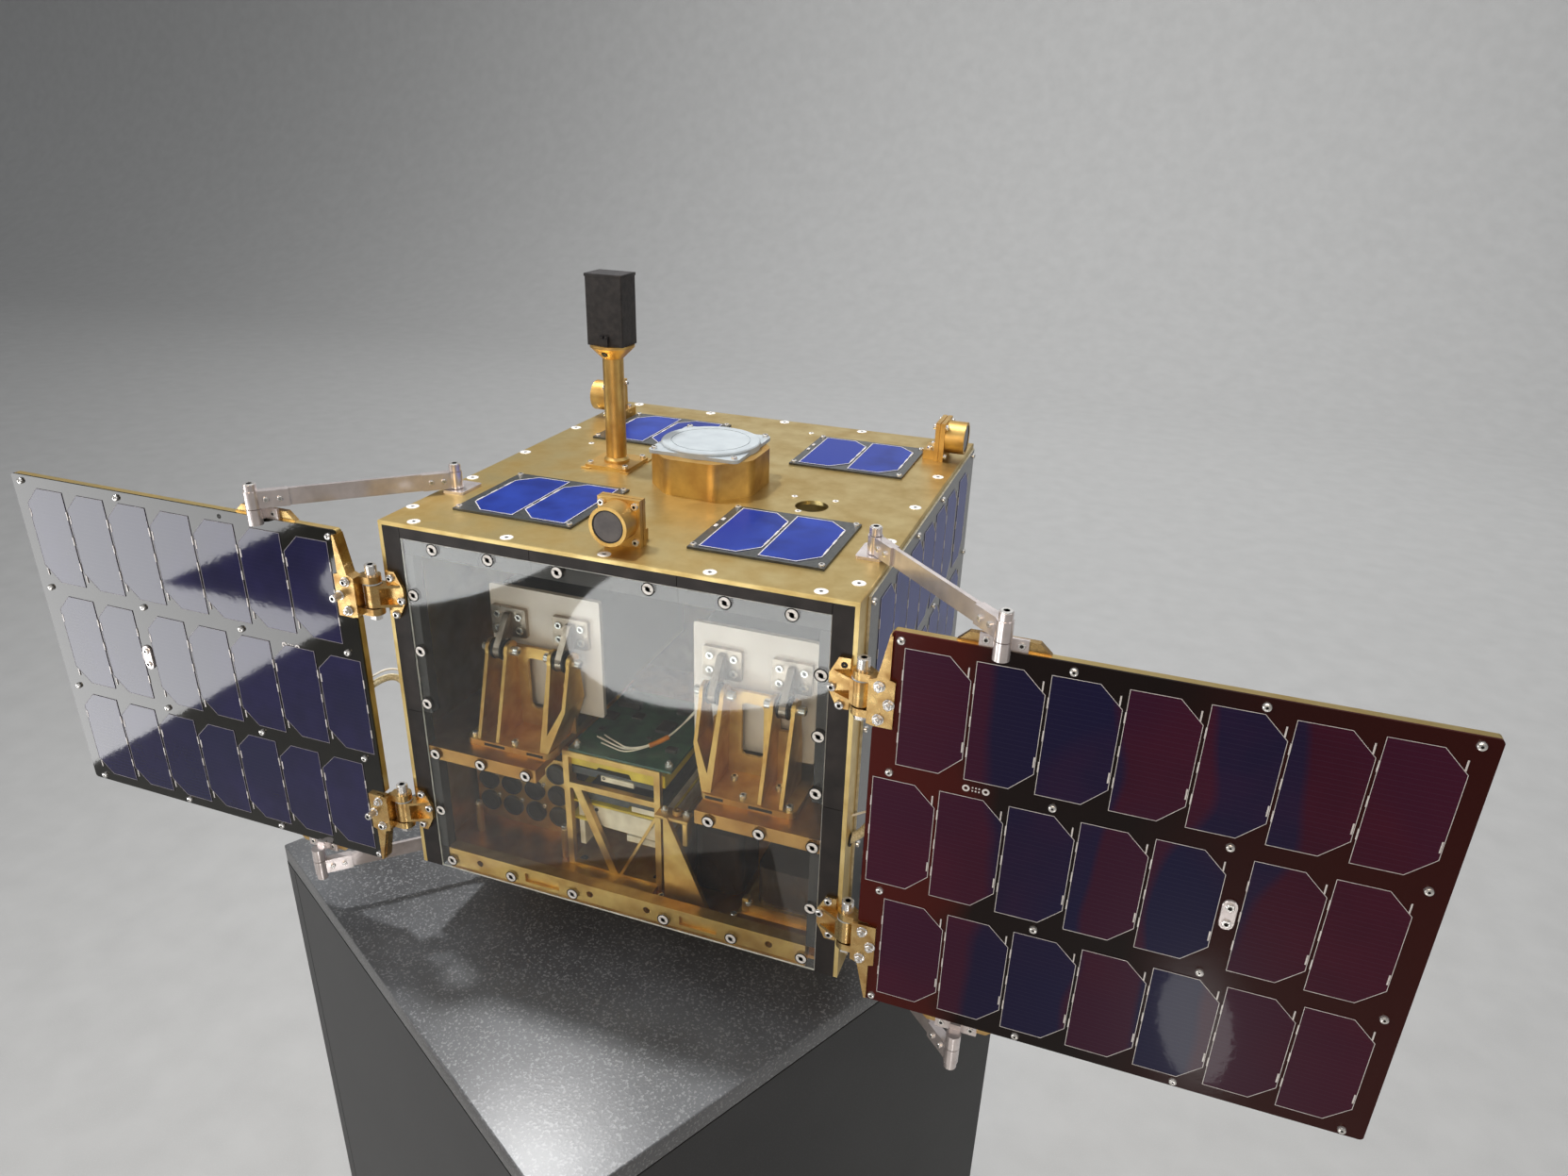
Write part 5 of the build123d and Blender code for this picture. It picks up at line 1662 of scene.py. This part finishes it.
@dataclass
class Battery(Assembly):
    """The battery pack: an insulator ring on each cell end and the small screws of the holder."""

    columns: tuple[float, ...] = (-155.0, -133.0, -111.0, -89.0)
    rows: tuple[float, ...] = (20.0, 41.0, 62.0)
    cell_face: float = -112.0
    holder_face: float = -114.0
    cap: Ring = Ring(9.0, 7.4, 0.8)
    pole: Ring = Ring(4.6, 0.4, 0.5)
    screw: Screw = Screw(1.9, 1.4, 0.9, 0.3)

    def dress(self) -> None:
        """Gives the pack its finishes and small pieces."""
        paint(battery_holder=self.finish.gold_milled, battery_cells=self.finish.wrap)
        ends = facing(Facing.FRONT, ((x, self.cell_face, z) for x, z in product(self.columns, self.rows)))
        rings = [copies(ring.model(), upright(ends), "rings") for ring in (self.cap, self.pole)]
        fit(join(rings, "battery_cell_ends"), "cell_wrap", self.finish.wrap)
        middle_x = [(a + b) / 2 for a, b in zip(self.columns, self.columns[1:])]
        middle_z = [(a + b) / 2 for a, b in zip(self.rows, self.rows[1:])]
        between = facing(Facing.FRONT, ((x, self.holder_face, z) for x, z in product(middle_x, middle_z)))
        self.fasten(self.screw, "battery_holder_screws", between)


@dataclass
class Floor(Assembly):
    """What stands on the bus floor: wheel housings, their seats, posts, a clamp and a tab."""

    screw: Screw = Screw(2.7, 3.0, 1.4, 0.4)
    posts: tuple[XYZ, ...] = ((-153, -131, 30.0), (-70, -134, 30.0))
    seats: tuple[XYZ, ...] = (
        (96.5, -152.0, 20.0), (147.5, -152.0, 20.0), (92.0, -104.0, 13.0), (147.0, -104.0, 20.0),
        (84.0, -150.0, 3.0), (74.0, -155.0, 3.0), (24.0, -152.0, 3.0),
    )  # fmt: skip
    clamps: tuple[tuple[XYZ, XYZ, float], ...] = (
        ((91.5, -153.5, 13.0), (96.5, -147.5, 25.0), 0.8),
        ((91.5, -153.5, 19.5), (99.0, -147.5, 22.5), 0.6),
        ((23.0, -158.5, 82.5), (50.0, -146.0, 85.5), 0.6),
        ((45.0, -157.0, 62.0), (49.0, -148.0, 83.0), 0.6),
    )
    boss: Ring = Ring(3.6, 0.4, 4.0)
    boss_spot: XYZ = (39.0, -152.0, 85.5)
    nut: Nut = Nut(2.8, 3.0, 1.4, 2.0)
    nut_spots: tuple[XYZ, ...] = ((46.5, -152.0, 85.5), (29.0, -152.5, 85.5))

    def dress(self) -> None:
        """Gives the floor its finishes, its screws, the clamp at the wheel seat and the tab at the cage."""
        paint(floor_fittings=self.finish.gold_milled, reaction_wheels=self.finish.wheel)
        self.fasten(self.screw, "floor_post_screws", facing(Facing.UP, self.posts))
        self.fasten(self.screw, "floor_seat_screws", facing(Facing.UP, self.seats))
        parts = [box(at(*low), at(*high), edge, 2) for low, high, edge in self.clamps]
        parts.append(copies(self.boss.model(), upright(facing(Facing.UP, [self.boss_spot])), "boss"))
        fit(join(parts, "floor_clamps"), "gold_aluminium", self.finish.gold_milled)
        self.fasten(self.nut, "floor_clamp_nuts", facing(Facing.UP, self.nut_spots))


@dataclass
class Wing(Assembly):
    """One hinged solar wing with its cells, bolts, test pads and hold-down insert."""

    side: Side
    tab_edge: float = 191.0
    top: float = 287.5
    cell_high: float = 0.35
    rows: tuple[XYZ, ...] = ((16.4, 9.4, 0.0), (2.9, 101.4, 10.4), (16.4, 193.2, 0.0))
    bolt: Screw = Screw(2.5, 2.1, 0.9, 0.85, 2)
    nut: Nut = Nut(2.9, 2.2, 1.5, 1.0)
    bolts: tuple[XY, ...] = (
        (205, 282.5), (303, 282.5), (402, 282.5), (501, 282.5),
        (204, 191.5), (303, 191.5), (401, 191.5), (500, 191.5),
        (204, 100), (303, 100), (401, 100), (500, 100),
        (204, 10), (302, 10), (401, 10), (498, 10),
    )  # fmt: skip
    empty_hole: ClassVar[dict[Side, XY]] = {Side.LEFT: (303, 282.5)}
    # A near-black disc of painted shade in the empty hole.
    rim: Ring = Ring(1.8, 0.4, 0.2)
    rim_sink: float = 0.05
    pad: Ring = Ring(2.3, 1.1, 0.3)
    pad_x: float = 251.5
    pad_z: ClassVar[dict[Side, float]] = {Side.LEFT: 186.0, Side.RIGHT: 192.0}
    pad_apart: XY = (0.0, 12.0)
    dots: tuple[XYZ, XY] = ((4.0, 6.0, 8.0), (-1.1, 1.1))
    dot: XYZ = (1.0, 0.4, 1.0)
    dot_out: float = 0.25
    dot_edge: float = 0.1
    insert: XY = (408.3, 146.0)
    insert_size: XY = (8.6, 21.0)
    insert_high: float = 1.6
    insert_screws: XY = (-5.8, 5.8)
    insert_screw: Screw = Screw(2.6, 1.2, 1.4, 0.35)

    @property
    def body(self) -> str:
        """The body that the wing's pieces ride on."""
        return f"wing_{self.side.word}"

    def face(self, spots: Iterable[XY], deep: float = 0.0) -> list[Place]:
        """Places on the wing's front, with their X measured outwards, or a little behind it."""
        return facing(Facing.FRONT, ((self.side.value * x, WING_FACE + deep, z) for x, z in spots))

    def frames(self) -> None:
        """Lays the silver outlines on the cells, duller ones on the left wing."""
        sign = self.side.value
        turns = []
        for (first, top, gap), column in product(self.rows, range(COLUMNS)):
            shift = first + column * CELL_PITCH + (gap if column >= 5 else 0)
            x = sign * (self.tab_edge + shift + CELL_W / 2)
            centre = at(x, WING_FACE - self.cell_high, self.top - top - CELL_H / 2)
            turns.append(laid(centre, Vector((sign, 0, 0)), Facing.FRONT.vector))
        printed = self.finish.contact_dull if self.side is Side.LEFT else self.finish.contact
        self.print_cells(CellFrame(), f"{self.body}_cell_frames", turns, printed, self.body)

    def pads(self) -> None:
        """Fits the two round test pads with the dots between them."""
        z = self.pad_z[self.side]
        rings = upright(self.face((self.pad_x + dx, z) for dx in self.pad_apart))
        parts = [copies(self.pad.model(), rings, "pads")]
        half = self.dot[0] / 2
        for dx, dz in product(*self.dots):
            low = at(self.side.value * (self.pad_x + dx) - half, WING_FACE - self.dot_out, z + dz - half)
            parts.append(block_at(low, self.dot, self.dot_edge))
        fit(join(parts, f"{self.body}_test_pads"), "silver_aluminium", self.finish.contact, body=self.body)

    def hold_down(self) -> None:
        """Fits the rounded hold-down insert with its two screws."""
        x, z = self.insert
        seat = laid(at(self.side.value * x, WING_FACE, z), Facing.RIGHT.vector, Facing.FRONT.vector)
        insert = placed(plate(stadium(*self.insert_size), self.insert_high, 0.3), seat)
        insert = join([insert], f"{self.body}_hold_down_insert")
        fit(insert, "silver_aluminium", self.finish.silver, body=self.body)
        spots = self.face(((x, z + dz) for dz in self.insert_screws), -self.insert_high)
        self.fasten(self.insert_screw, f"{self.body}_hold_down_screws", spots, body=self.body)

    def dress(self) -> None:
        """Gives the wing its finishes and fits its small pieces."""
        made, body, left = self.finish, self.body, self.side is Side.LEFT
        parts = {"panel": made.gold, "board": made.board if left else made.board_red_reflection}
        parts |= {"cells": made.cell_left if left else made.cell_right, "brackets": made.gold_fitting}
        parts |= {"knuckles": made.silver, "pins": made.steel}
        paint(**{f"{body}_{part}": material for part, material in parts.items()})
        self.frames()
        self.pads()
        self.hold_down()
        hole = self.empty_hole.get(self.side)
        spots = [spot for spot in self.bolts if spot != hole]
        if hole:
            # Painted shade: a near-black disc stands for the empty bolt hole.
            seat = self.face([hole], self.rim_sink)
            self.fasten(self.rim, f"{body}_empty_hole", seat, "black_plastic", made.recess, body)
        self.fasten(self.bolt, f"{body}_bolts", self.face(spots), body=body)
        rear = facing(Facing.BACK, ((self.side.value * x, WING_REAR, z) for x, z in spots))
        self.fasten(self.nut, f"{body}_rear_nuts", rear, body=body)


@dataclass
class Hinge(Assembly):
    """One wing hinge: the screws and nuts of its plates, the washer and the bolt on its pin."""

    side: Side
    level: Level
    pin: XY = (181.0, -186.5)
    heights: ClassVar[dict[Level, float]] = {Level.UPPER: 239.0, Level.LOWER: 53.5}
    body_face: float = -182.8
    wing_face: float = -198.2
    body_spots: tuple[XY, ...] = ((168.0, 13.0), (160.5, -3.4), (166.3, -15.1))
    wing_spots: tuple[XY, ...] = ((194.3, 11.7), (200.8, 0.5), (194.9, -10.8))
    body_screw: Screw = Screw(3.0, 2.2, 1.5, 0.9, 2)
    long_screw: Screw = Screw(2.9, 7.5, 1.5, 0.5)
    open_hole_shade: Ring = Ring(2.2, 0.3, 0.15)
    nut: Nut = Nut(3.1, 2.4, 1.5, 1.8)
    washer: Ring = Ring(3.7, 1.5, 0.6)
    pin_washer: Ring = Ring(6.8, 2.6, 1.0)
    bolt: Screw = Screw(4.25, 3.0, 2.2, 0.5)
    bolt_up: float = 20.0
    pin_washer_up: float = 8.7

    @property
    def name(self) -> str:
        """The hinge's name in piece names."""
        return f"hinge_{self.side.word}_{self.level.word}"

    def spots(self, table: Iterable[XY], face: float) -> list[Place]:
        """Places on a face, by how far out and above the hinge's middle, mirrored on the lower hinge."""
        sign, up, middle = self.side.value, self.level.value, self.heights[self.level]
        return facing(Facing.FRONT, ((sign * x, face, middle + up * dz) for x, dz in table))

    def body_half(self) -> None:
        """Fits the screws of the plate on the bus. The right upper one has an open hole instead of one, drawn
        as a near-black disc of painted shade.
        """
        places = self.spots(self.body_spots, self.body_face)
        if self.side is Side.RIGHT and self.level is Level.UPPER:
            # Painted shade: a near-black disc stands for the open hole.
            self.fasten(self.open_hole_shade, f"{self.name}_hole", places[:1], "gold_aluminium", self.finish.recess)
            places = places[1:]
        self.fasten(self.body_screw, f"{self.name}_body_screws", places)

    def wing_half(self, wing: str) -> None:
        """Fits the nuts with their washers, and on the left wing also a flat screw and a long one.

        Args:
            wing: the body that they ride on.
        """
        places = self.spots(self.wing_spots, self.wing_face)
        self.fasten(self.washer, f"{self.name}_washers", places, body=wing)
        places = [(foot + way * self.washer.height * MM, way) for foot, way in places]
        if self.side is Side.LEFT:
            self.fasten(self.body_screw, f"{self.name}_flat_screw", places[:1], body=wing)
            self.fasten(self.long_screw, f"{self.name}_long_screw", places[1:2], body=wing)
            places = places[2:]
        self.fasten(self.nut, f"{self.name}_nuts", places, body=wing)

    def dress(self) -> None:
        """Fits the small pieces of the hinge."""
        wing = f"wing_{self.side.word}"
        self.body_half()
        self.wing_half(wing)
        x, y, middle = self.side.value * self.pin[0], self.pin[1], self.heights[self.level]
        rises = (self.bolt_up, self.pin_washer_up)
        end, seat = (facing(Facing.UP, [(x, y, middle + up)]) for up in rises)
        self.fasten(self.bolt, f"{self.name}_bolt", end, body=wing)
        white = self.finish.white
        self.fasten(self.pin_washer, f"{self.name}_pin_washer", seat, "white_ceramic", white, wing)


@dataclass
class Brace(Assembly):
    """One strut that holds a wing open: its screws and nuts, and the sockets of both pins."""

    side: Side
    level: Level
    start: XY = (163.0, -105.0)
    long: float = 138.55
    angle: float = 43.8
    lows: ClassVar[dict[Level, float]] = {Level.UPPER: 296.6, Level.LOWER: -22.5}
    tall: float = 12.5
    along: XY = (9.0, 18.0)
    half: float = 3.25
    screw: Screw = Screw(1.9, 1.6, 0.95, 0.35)
    nut: Nut = Nut(2.0, 1.4, 0.9, 0.8)
    socket: Screw = Screw(3.9, 0.8, 2.1, 0.35)
    bus_cap: float = 18.0
    wing_cap: float = 17.5
    plate_screw: Screw = Screw(2.2, 0.6, 1.2, 0.2)
    plate_x: XY = (253.0, 273.0)
    plate_y: float = -194.5
    plate_z: ClassVar[dict[Level, float]] = {Level.UPPER: 291.5, Level.LOWER: 1.5}

    def cap_place(self, spot: Spot, along: float, top: float) -> list[Place]:
        """Where a pin's socket sits, on the outer end of its cap.

        Args:
            spot: the strut's frame.
            along: the pin's place along the strut.
            top: the height of the cap's outer end.

        Returns:
            The place and the direction that it faces.
        """
        if self.level is Level.UPPER:
            return [(spot.point(along, 0, top), Facing.UP.vector)]
        return [(spot.point(along, 0, self.tall - top), Facing.DOWN.vector)]

    def dress(self) -> None:
        """Gives the strut its finish and small pieces."""
        sign = self.side.value
        body = f"brace_{self.side.word}_{self.level.word}"
        paint(**{body: self.finish.silver})
        turn = -self.angle if self.side is Side.RIGHT else self.angle - 180.0
        spot = Spot(sign * self.start[0], self.start[1], self.lows[self.level], turn)
        marks = [*self.along, *(self.long - x for x in self.along)]
        for part, name, face in ((self.screw, "screws", -sign), (self.nut, "nuts", sign)):
            places = [(spot.point(x, face * self.half, self.tall / 2), spot.way(0, face)) for x in marks]
            self.fasten(part, f"{body}_{name}", places, body=body)
        self.fasten(self.socket, f"{body}_bus_pin_socket", self.cap_place(spot, 0.0, self.bus_cap))
        cap = self.cap_place(spot, self.long, self.wing_cap)
        self.fasten(self.socket, f"{body}_wing_pin_socket", cap, body=body)
        plates = ((sign * x, self.plate_y, self.plate_z[self.level]) for x in self.plate_x)
        places = facing(Facing.FRONT, plates)
        self.fasten(self.plate_screw, f"{body}_plate_screws", places, body=f"wing_{self.side.word}")


@dataclass
class Harness(Assembly):
    """The braided cable that crosses a wing's hinge line, with its grommet in the bus wall."""

    side: Side
    radius: float
    path: tuple[XYZ, ...]
    wire: tuple[XYZ, ...]
    wall: float = 174.9
    wire_radius: float = 0.8
    rim: XY = (1.6, 1.2)

    def dress(self) -> None:
        """Draws the cable and the thin wire beside it, neither of them on a body, and fits the grommet."""
        sign, word, made = self.side.value, self.side.word, self.finish
        node = f"harness_{word}"
        paint(**{node: made.cable})
        cable = ("cable", self.path, self.radius, 4, made.cable)
        kinds = (cable, ("wire", self.wire, self.wire_radius, 2, made.wire))
        pieces = []
        for name, path, radius, resolution, material in kinds:
            line = [at(sign * x, y, z) for x, y, z in path]
            piece = join([strand(line, radius, resolution)], f"harness_{name}_{word}")
            pieces.append((fit(piece, "cable_jacket", material, body=None, smooth_deg=ROUND_DEG), line))
        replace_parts(pieces[0][0], node)
        for piece, line in pieces:
            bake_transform(piece)
        spot = (at(sign * self.wall, *self.path[-1][1:]), Vector((sign, 0, 0)))
        grommet = Ring(self.radius + self.rim[0], self.radius, self.rim[1])
        self.fasten(grommet, f"harness_grommet_{word}", [spot], "black_plastic", made.black_print)


# Studio


@dataclass
class Studio:
    """Camera, floor and lights. The camera stands where the photograph was taken."""

    finish: Finishes
    camera_place: XYZ = (0.318355, -0.735245, 1.618384)
    yaw: float = 0.333
    pitch: float = 0.421
    roll: float = -0.030
    focal_px: float = 1117.494
    photo_width: float = 1663.0
    sensor_mm: float = 36.0
    floor_size: float = 60.0
    wall_y: float = 9.0
    wall_high: float = 9.0
    wall_round: float = 3.0
    wall_steps: int = 16
    clip: XY = (0.01, 200.0)
    bus: XYZ = (0.0, 0.0, 1.2)
    card_high: float = 0.01
    sky: str = "#D9DBDE"
    sky_strength: float = 0.38
    boxes: tuple[tuple[str, XYZ, float, float, str], ...] = (
        ("key_lamp", (-0.73, 0.16, 3.3), 0.14, 44, "#FFFFFF"),
        ("overhead_box", (0.0, 0.2, 3.3), 2.4, 15, "#FFFFFF"),
        ("back_box", (-0.8, 3.0, 2.6), 2.0, 3, "#FFFFFF"),
        ("left_front_box", (-1.8, -1.6, 2.6), 1.2, 15, "#FFFFFF"),
        ("front_box", (0.35, -2.4, 1.9), 1.0, 18, "#FFE8CC"),
        ("right_box", (2.6, -0.6, 2.2), 1.4, 10, "#FFFFFF"),
    )
    far_box: tuple[XYZ, XYZ, XY, float] = ((0, 4.5, 5.5), (0, 7.0, 0.5), (8.0, 4.0), 300)
    cards: tuple[tuple[str, str, XY, XY, float], ...] = (
        ("floor_card_wing", "RECTANGLE", (-5.0, -3.2), (-2.95, -1.0), 4.6),
        ("floor_card_wing_near", "RECTANGLE", (-2.95, -2.2), (-2.15, -1.0), 4.6),
        ("floor_card_panel_left", "ELLIPSE", (-2.62, -3.7), (-1.75, -2.3), 3.2),
        ("floor_card_panel_right", "ELLIPSE", (-1.5, -3.45), (-0.35, -2.07), 3.2),
        ("floor_card_glare", "ELLIPSE", (0.53, -1.56), (0.67, -1.25), 9.0),
    )

    def camera(self) -> None:
        """Sets the camera."""
        level = math.cos(self.pitch)
        forward = Vector((-math.sin(self.yaw) * level, math.cos(self.yaw) * level, -math.sin(self.pitch)))
        right = Vector((math.cos(self.yaw), math.sin(self.yaw), 0))
        down = forward.cross(right)
        across = math.cos(self.roll) * right + math.sin(self.roll) * down
        below = -math.sin(self.roll) * right + math.cos(self.roll) * down
        data = bpy.data.cameras.new("camera")
        data.sensor_fit = "HORIZONTAL"
        data.sensor_width = self.sensor_mm
        data.lens = self.focal_px * self.sensor_mm / self.photo_width
        data.clip_start, data.clip_end = self.clip
        turn = Matrix((across, -below, -forward)).transposed().to_4x4()
        turn = Matrix.Translation(Vector(self.camera_place)) @ turn
        bpy.context.scene.camera = placed(linked("camera", data), turn)

    def light(
        self, name: str, place: Vector, aim: Vector, size: XY, watts: float, tint: str = "#FFFFFF"
    ) -> Object:
        """Adds a soft box.

        Args:
            name: the light's name.
            place: where it stands.
            aim: the point it faces.
            size: its width and depth.
            watts: its power.
            tint: its colour.

        Returns:
            The light.
        """
        data = bpy.data.lights.new(name, "AREA")
        data.shape = "RECTANGLE"
        data.size, data.size_y = size
        data.energy = watts
        data.color = linear(tint)[:3]
        turn = (aim - place).to_track_quat("-Z", "Y").to_matrix().to_4x4()
        obj = placed(linked(name, data), Matrix.Translation(place) @ turn)
        obj.visible_camera = False
        return obj

    def card(self, name: str, shape: str, low: XY, high: XY, radiance: float) -> None:
        """Lays a bright card on the floor that only glossy faces mirror.

        Args:
            name: the card's name.
            shape: RECTANGLE or ELLIPSE.
            low: its corner with the lowest X and Y.
            high: its corner with the highest X and Y.
            radiance: how bright it is.
        """
        wide, deep = high[0] - low[0], high[1] - low[1]
        place = Vector(((low[0] + high[0]) / 2, (low[1] + high[1]) / 2, self.card_high))
        watts = radiance * math.pi * wide * deep
        card = self.light(name, place, place + Vector((0, 0, 1)), (wide, deep), watts)
        card.matrix_world = Matrix.Translation(place) @ Matrix.Rotation(math.pi, 4, "X")
        card.visible_diffuse = False
        card.data.shape = shape

    def sweep(self) -> None:
        """Lays the floor and bends its far end up into a plain backdrop."""
        floor = added(bpy.ops.mesh.primitive_plane_add, size=self.floor_size)
        floor.name = "studio_floor"
        for vertex in floor.data.vertices:
            vertex.co.y = min(vertex.co.y, self.wall_y)
        edit_with(floor, lambda polygon: False)
        edit_vertices(floor, lambda spot: spot.y > 0)
        bpy.ops.mesh.extrude_edges_move(TRANSFORM_OT_translate={"value": (0, 0, self.wall_high)})
        edit_vertices(floor, lambda spot: spot.y > 0 and spot.z < 0.1)
        bpy.ops.mesh.bevel(offset=self.wall_round, segments=self.wall_steps, affect="EDGES")
        bpy.ops.object.mode_set(mode="OBJECT")
        floor.data.materials.append(self.finish.floor)
        only(floor)
        bpy.ops.object.shade_smooth()

    def stage(self) -> None:
        """Lays the floor and sets the world and the lights."""
        bpy.context.scene.view_settings.view_transform = "Standard"
        self.sweep()
        world = bpy.data.worlds.new("studio")
        bpy.context.scene.world = world
        world.use_nodes = True
        background = world.node_tree.nodes["Background"]
        background.inputs["Color"].default_value = linear(self.sky)
        background.inputs["Strength"].default_value = self.sky_strength
        for name, place, size, watts, tint in self.boxes:
            self.light(name, Vector(place), Vector(self.bus), (size, size), watts, tint)
        for card in self.cards:
            self.card(*card)
        place, aim, size, watts = self.far_box
        far = self.light("far_box", Vector(place), Vector(aim), size, watts)
        far.visible_glossy = False


def harnesses(finish: Finishes) -> list[Harness]:
    """Makes the two wing harnesses, whose paths follow the photograph.

    Args:
        finish: the finishes that they share.

    Returns:
        The right and the left one.
    """
    right_cable = (
        (194, -190, 136), (194, -180, 136), (192, -171, 132), (186, -164, 124), (181, -165, 116),
        (174, -168, 112),
    )  # fmt: skip
    right_wire = ((196, -190, 142), (195, -178, 143), (190, -168, 140), (182, -164, 134), (174, -166, 130))
    left_cable = ((194, -190, 162), (194, -178, 162.5), (189, -168, 161), (181, -168, 157), (174, -168, 154))
    left_wire = ((195, -190, 168), (194, -177, 169), (188, -168, 168), (180, -166, 164), (174, -167, 162))
    return [
        Harness(finish, Side.RIGHT, 3.2, right_cable, right_wire),
        Harness(finish, Side.LEFT, 2.6, left_cable, left_wire),
    ]


def assemblies(finish: Finishes) -> list[Assembly]:
    """Makes every sub-assembly.

    Args:
        finish: the finishes that they share.

    Returns:
        The sub-assemblies, in the order in which they are dressed.
    """
    pairs = list(product(Side, Level))
    return [
        Plinth(finish),
        Shell(finish),
        Deck(finish),
        Masthead(finish),
        SunSensor(finish, "front", Spot(1.0, -155.0, BUS_TOP)),
        SunSensor(finish, "right", Spot(160.6, 137.0, BUS_TOP, 90.0)),
        SunSensor(finish, "left", Spot(-160.6, 137.0, BUS_TOP, -90.0)),
        *(SideArray(finish, side) for side in Side),
        FrontPanel(finish),
        Payload(finish),
        CardCage(finish),
        Battery(finish),
        Floor(finish),
        *(Wing(finish, side) for side in Side),
        *(Hinge(finish, side, level) for side, level in pairs),
        *(Brace(finish, side, level) for side, level in pairs),
        *harnesses(finish),
    ]


def main() -> None:
    """Sets the camera, dresses every sub-assembly and lights the studio."""
    finish = Finishes()
    studio = Studio(finish)
    studio.camera()
    for assembly in assemblies(finish):
        assembly.dress()
        LOG.info("dressed %s", type(assembly).__name__)
    studio.stage()


if __name__ == "__main__":
    main()
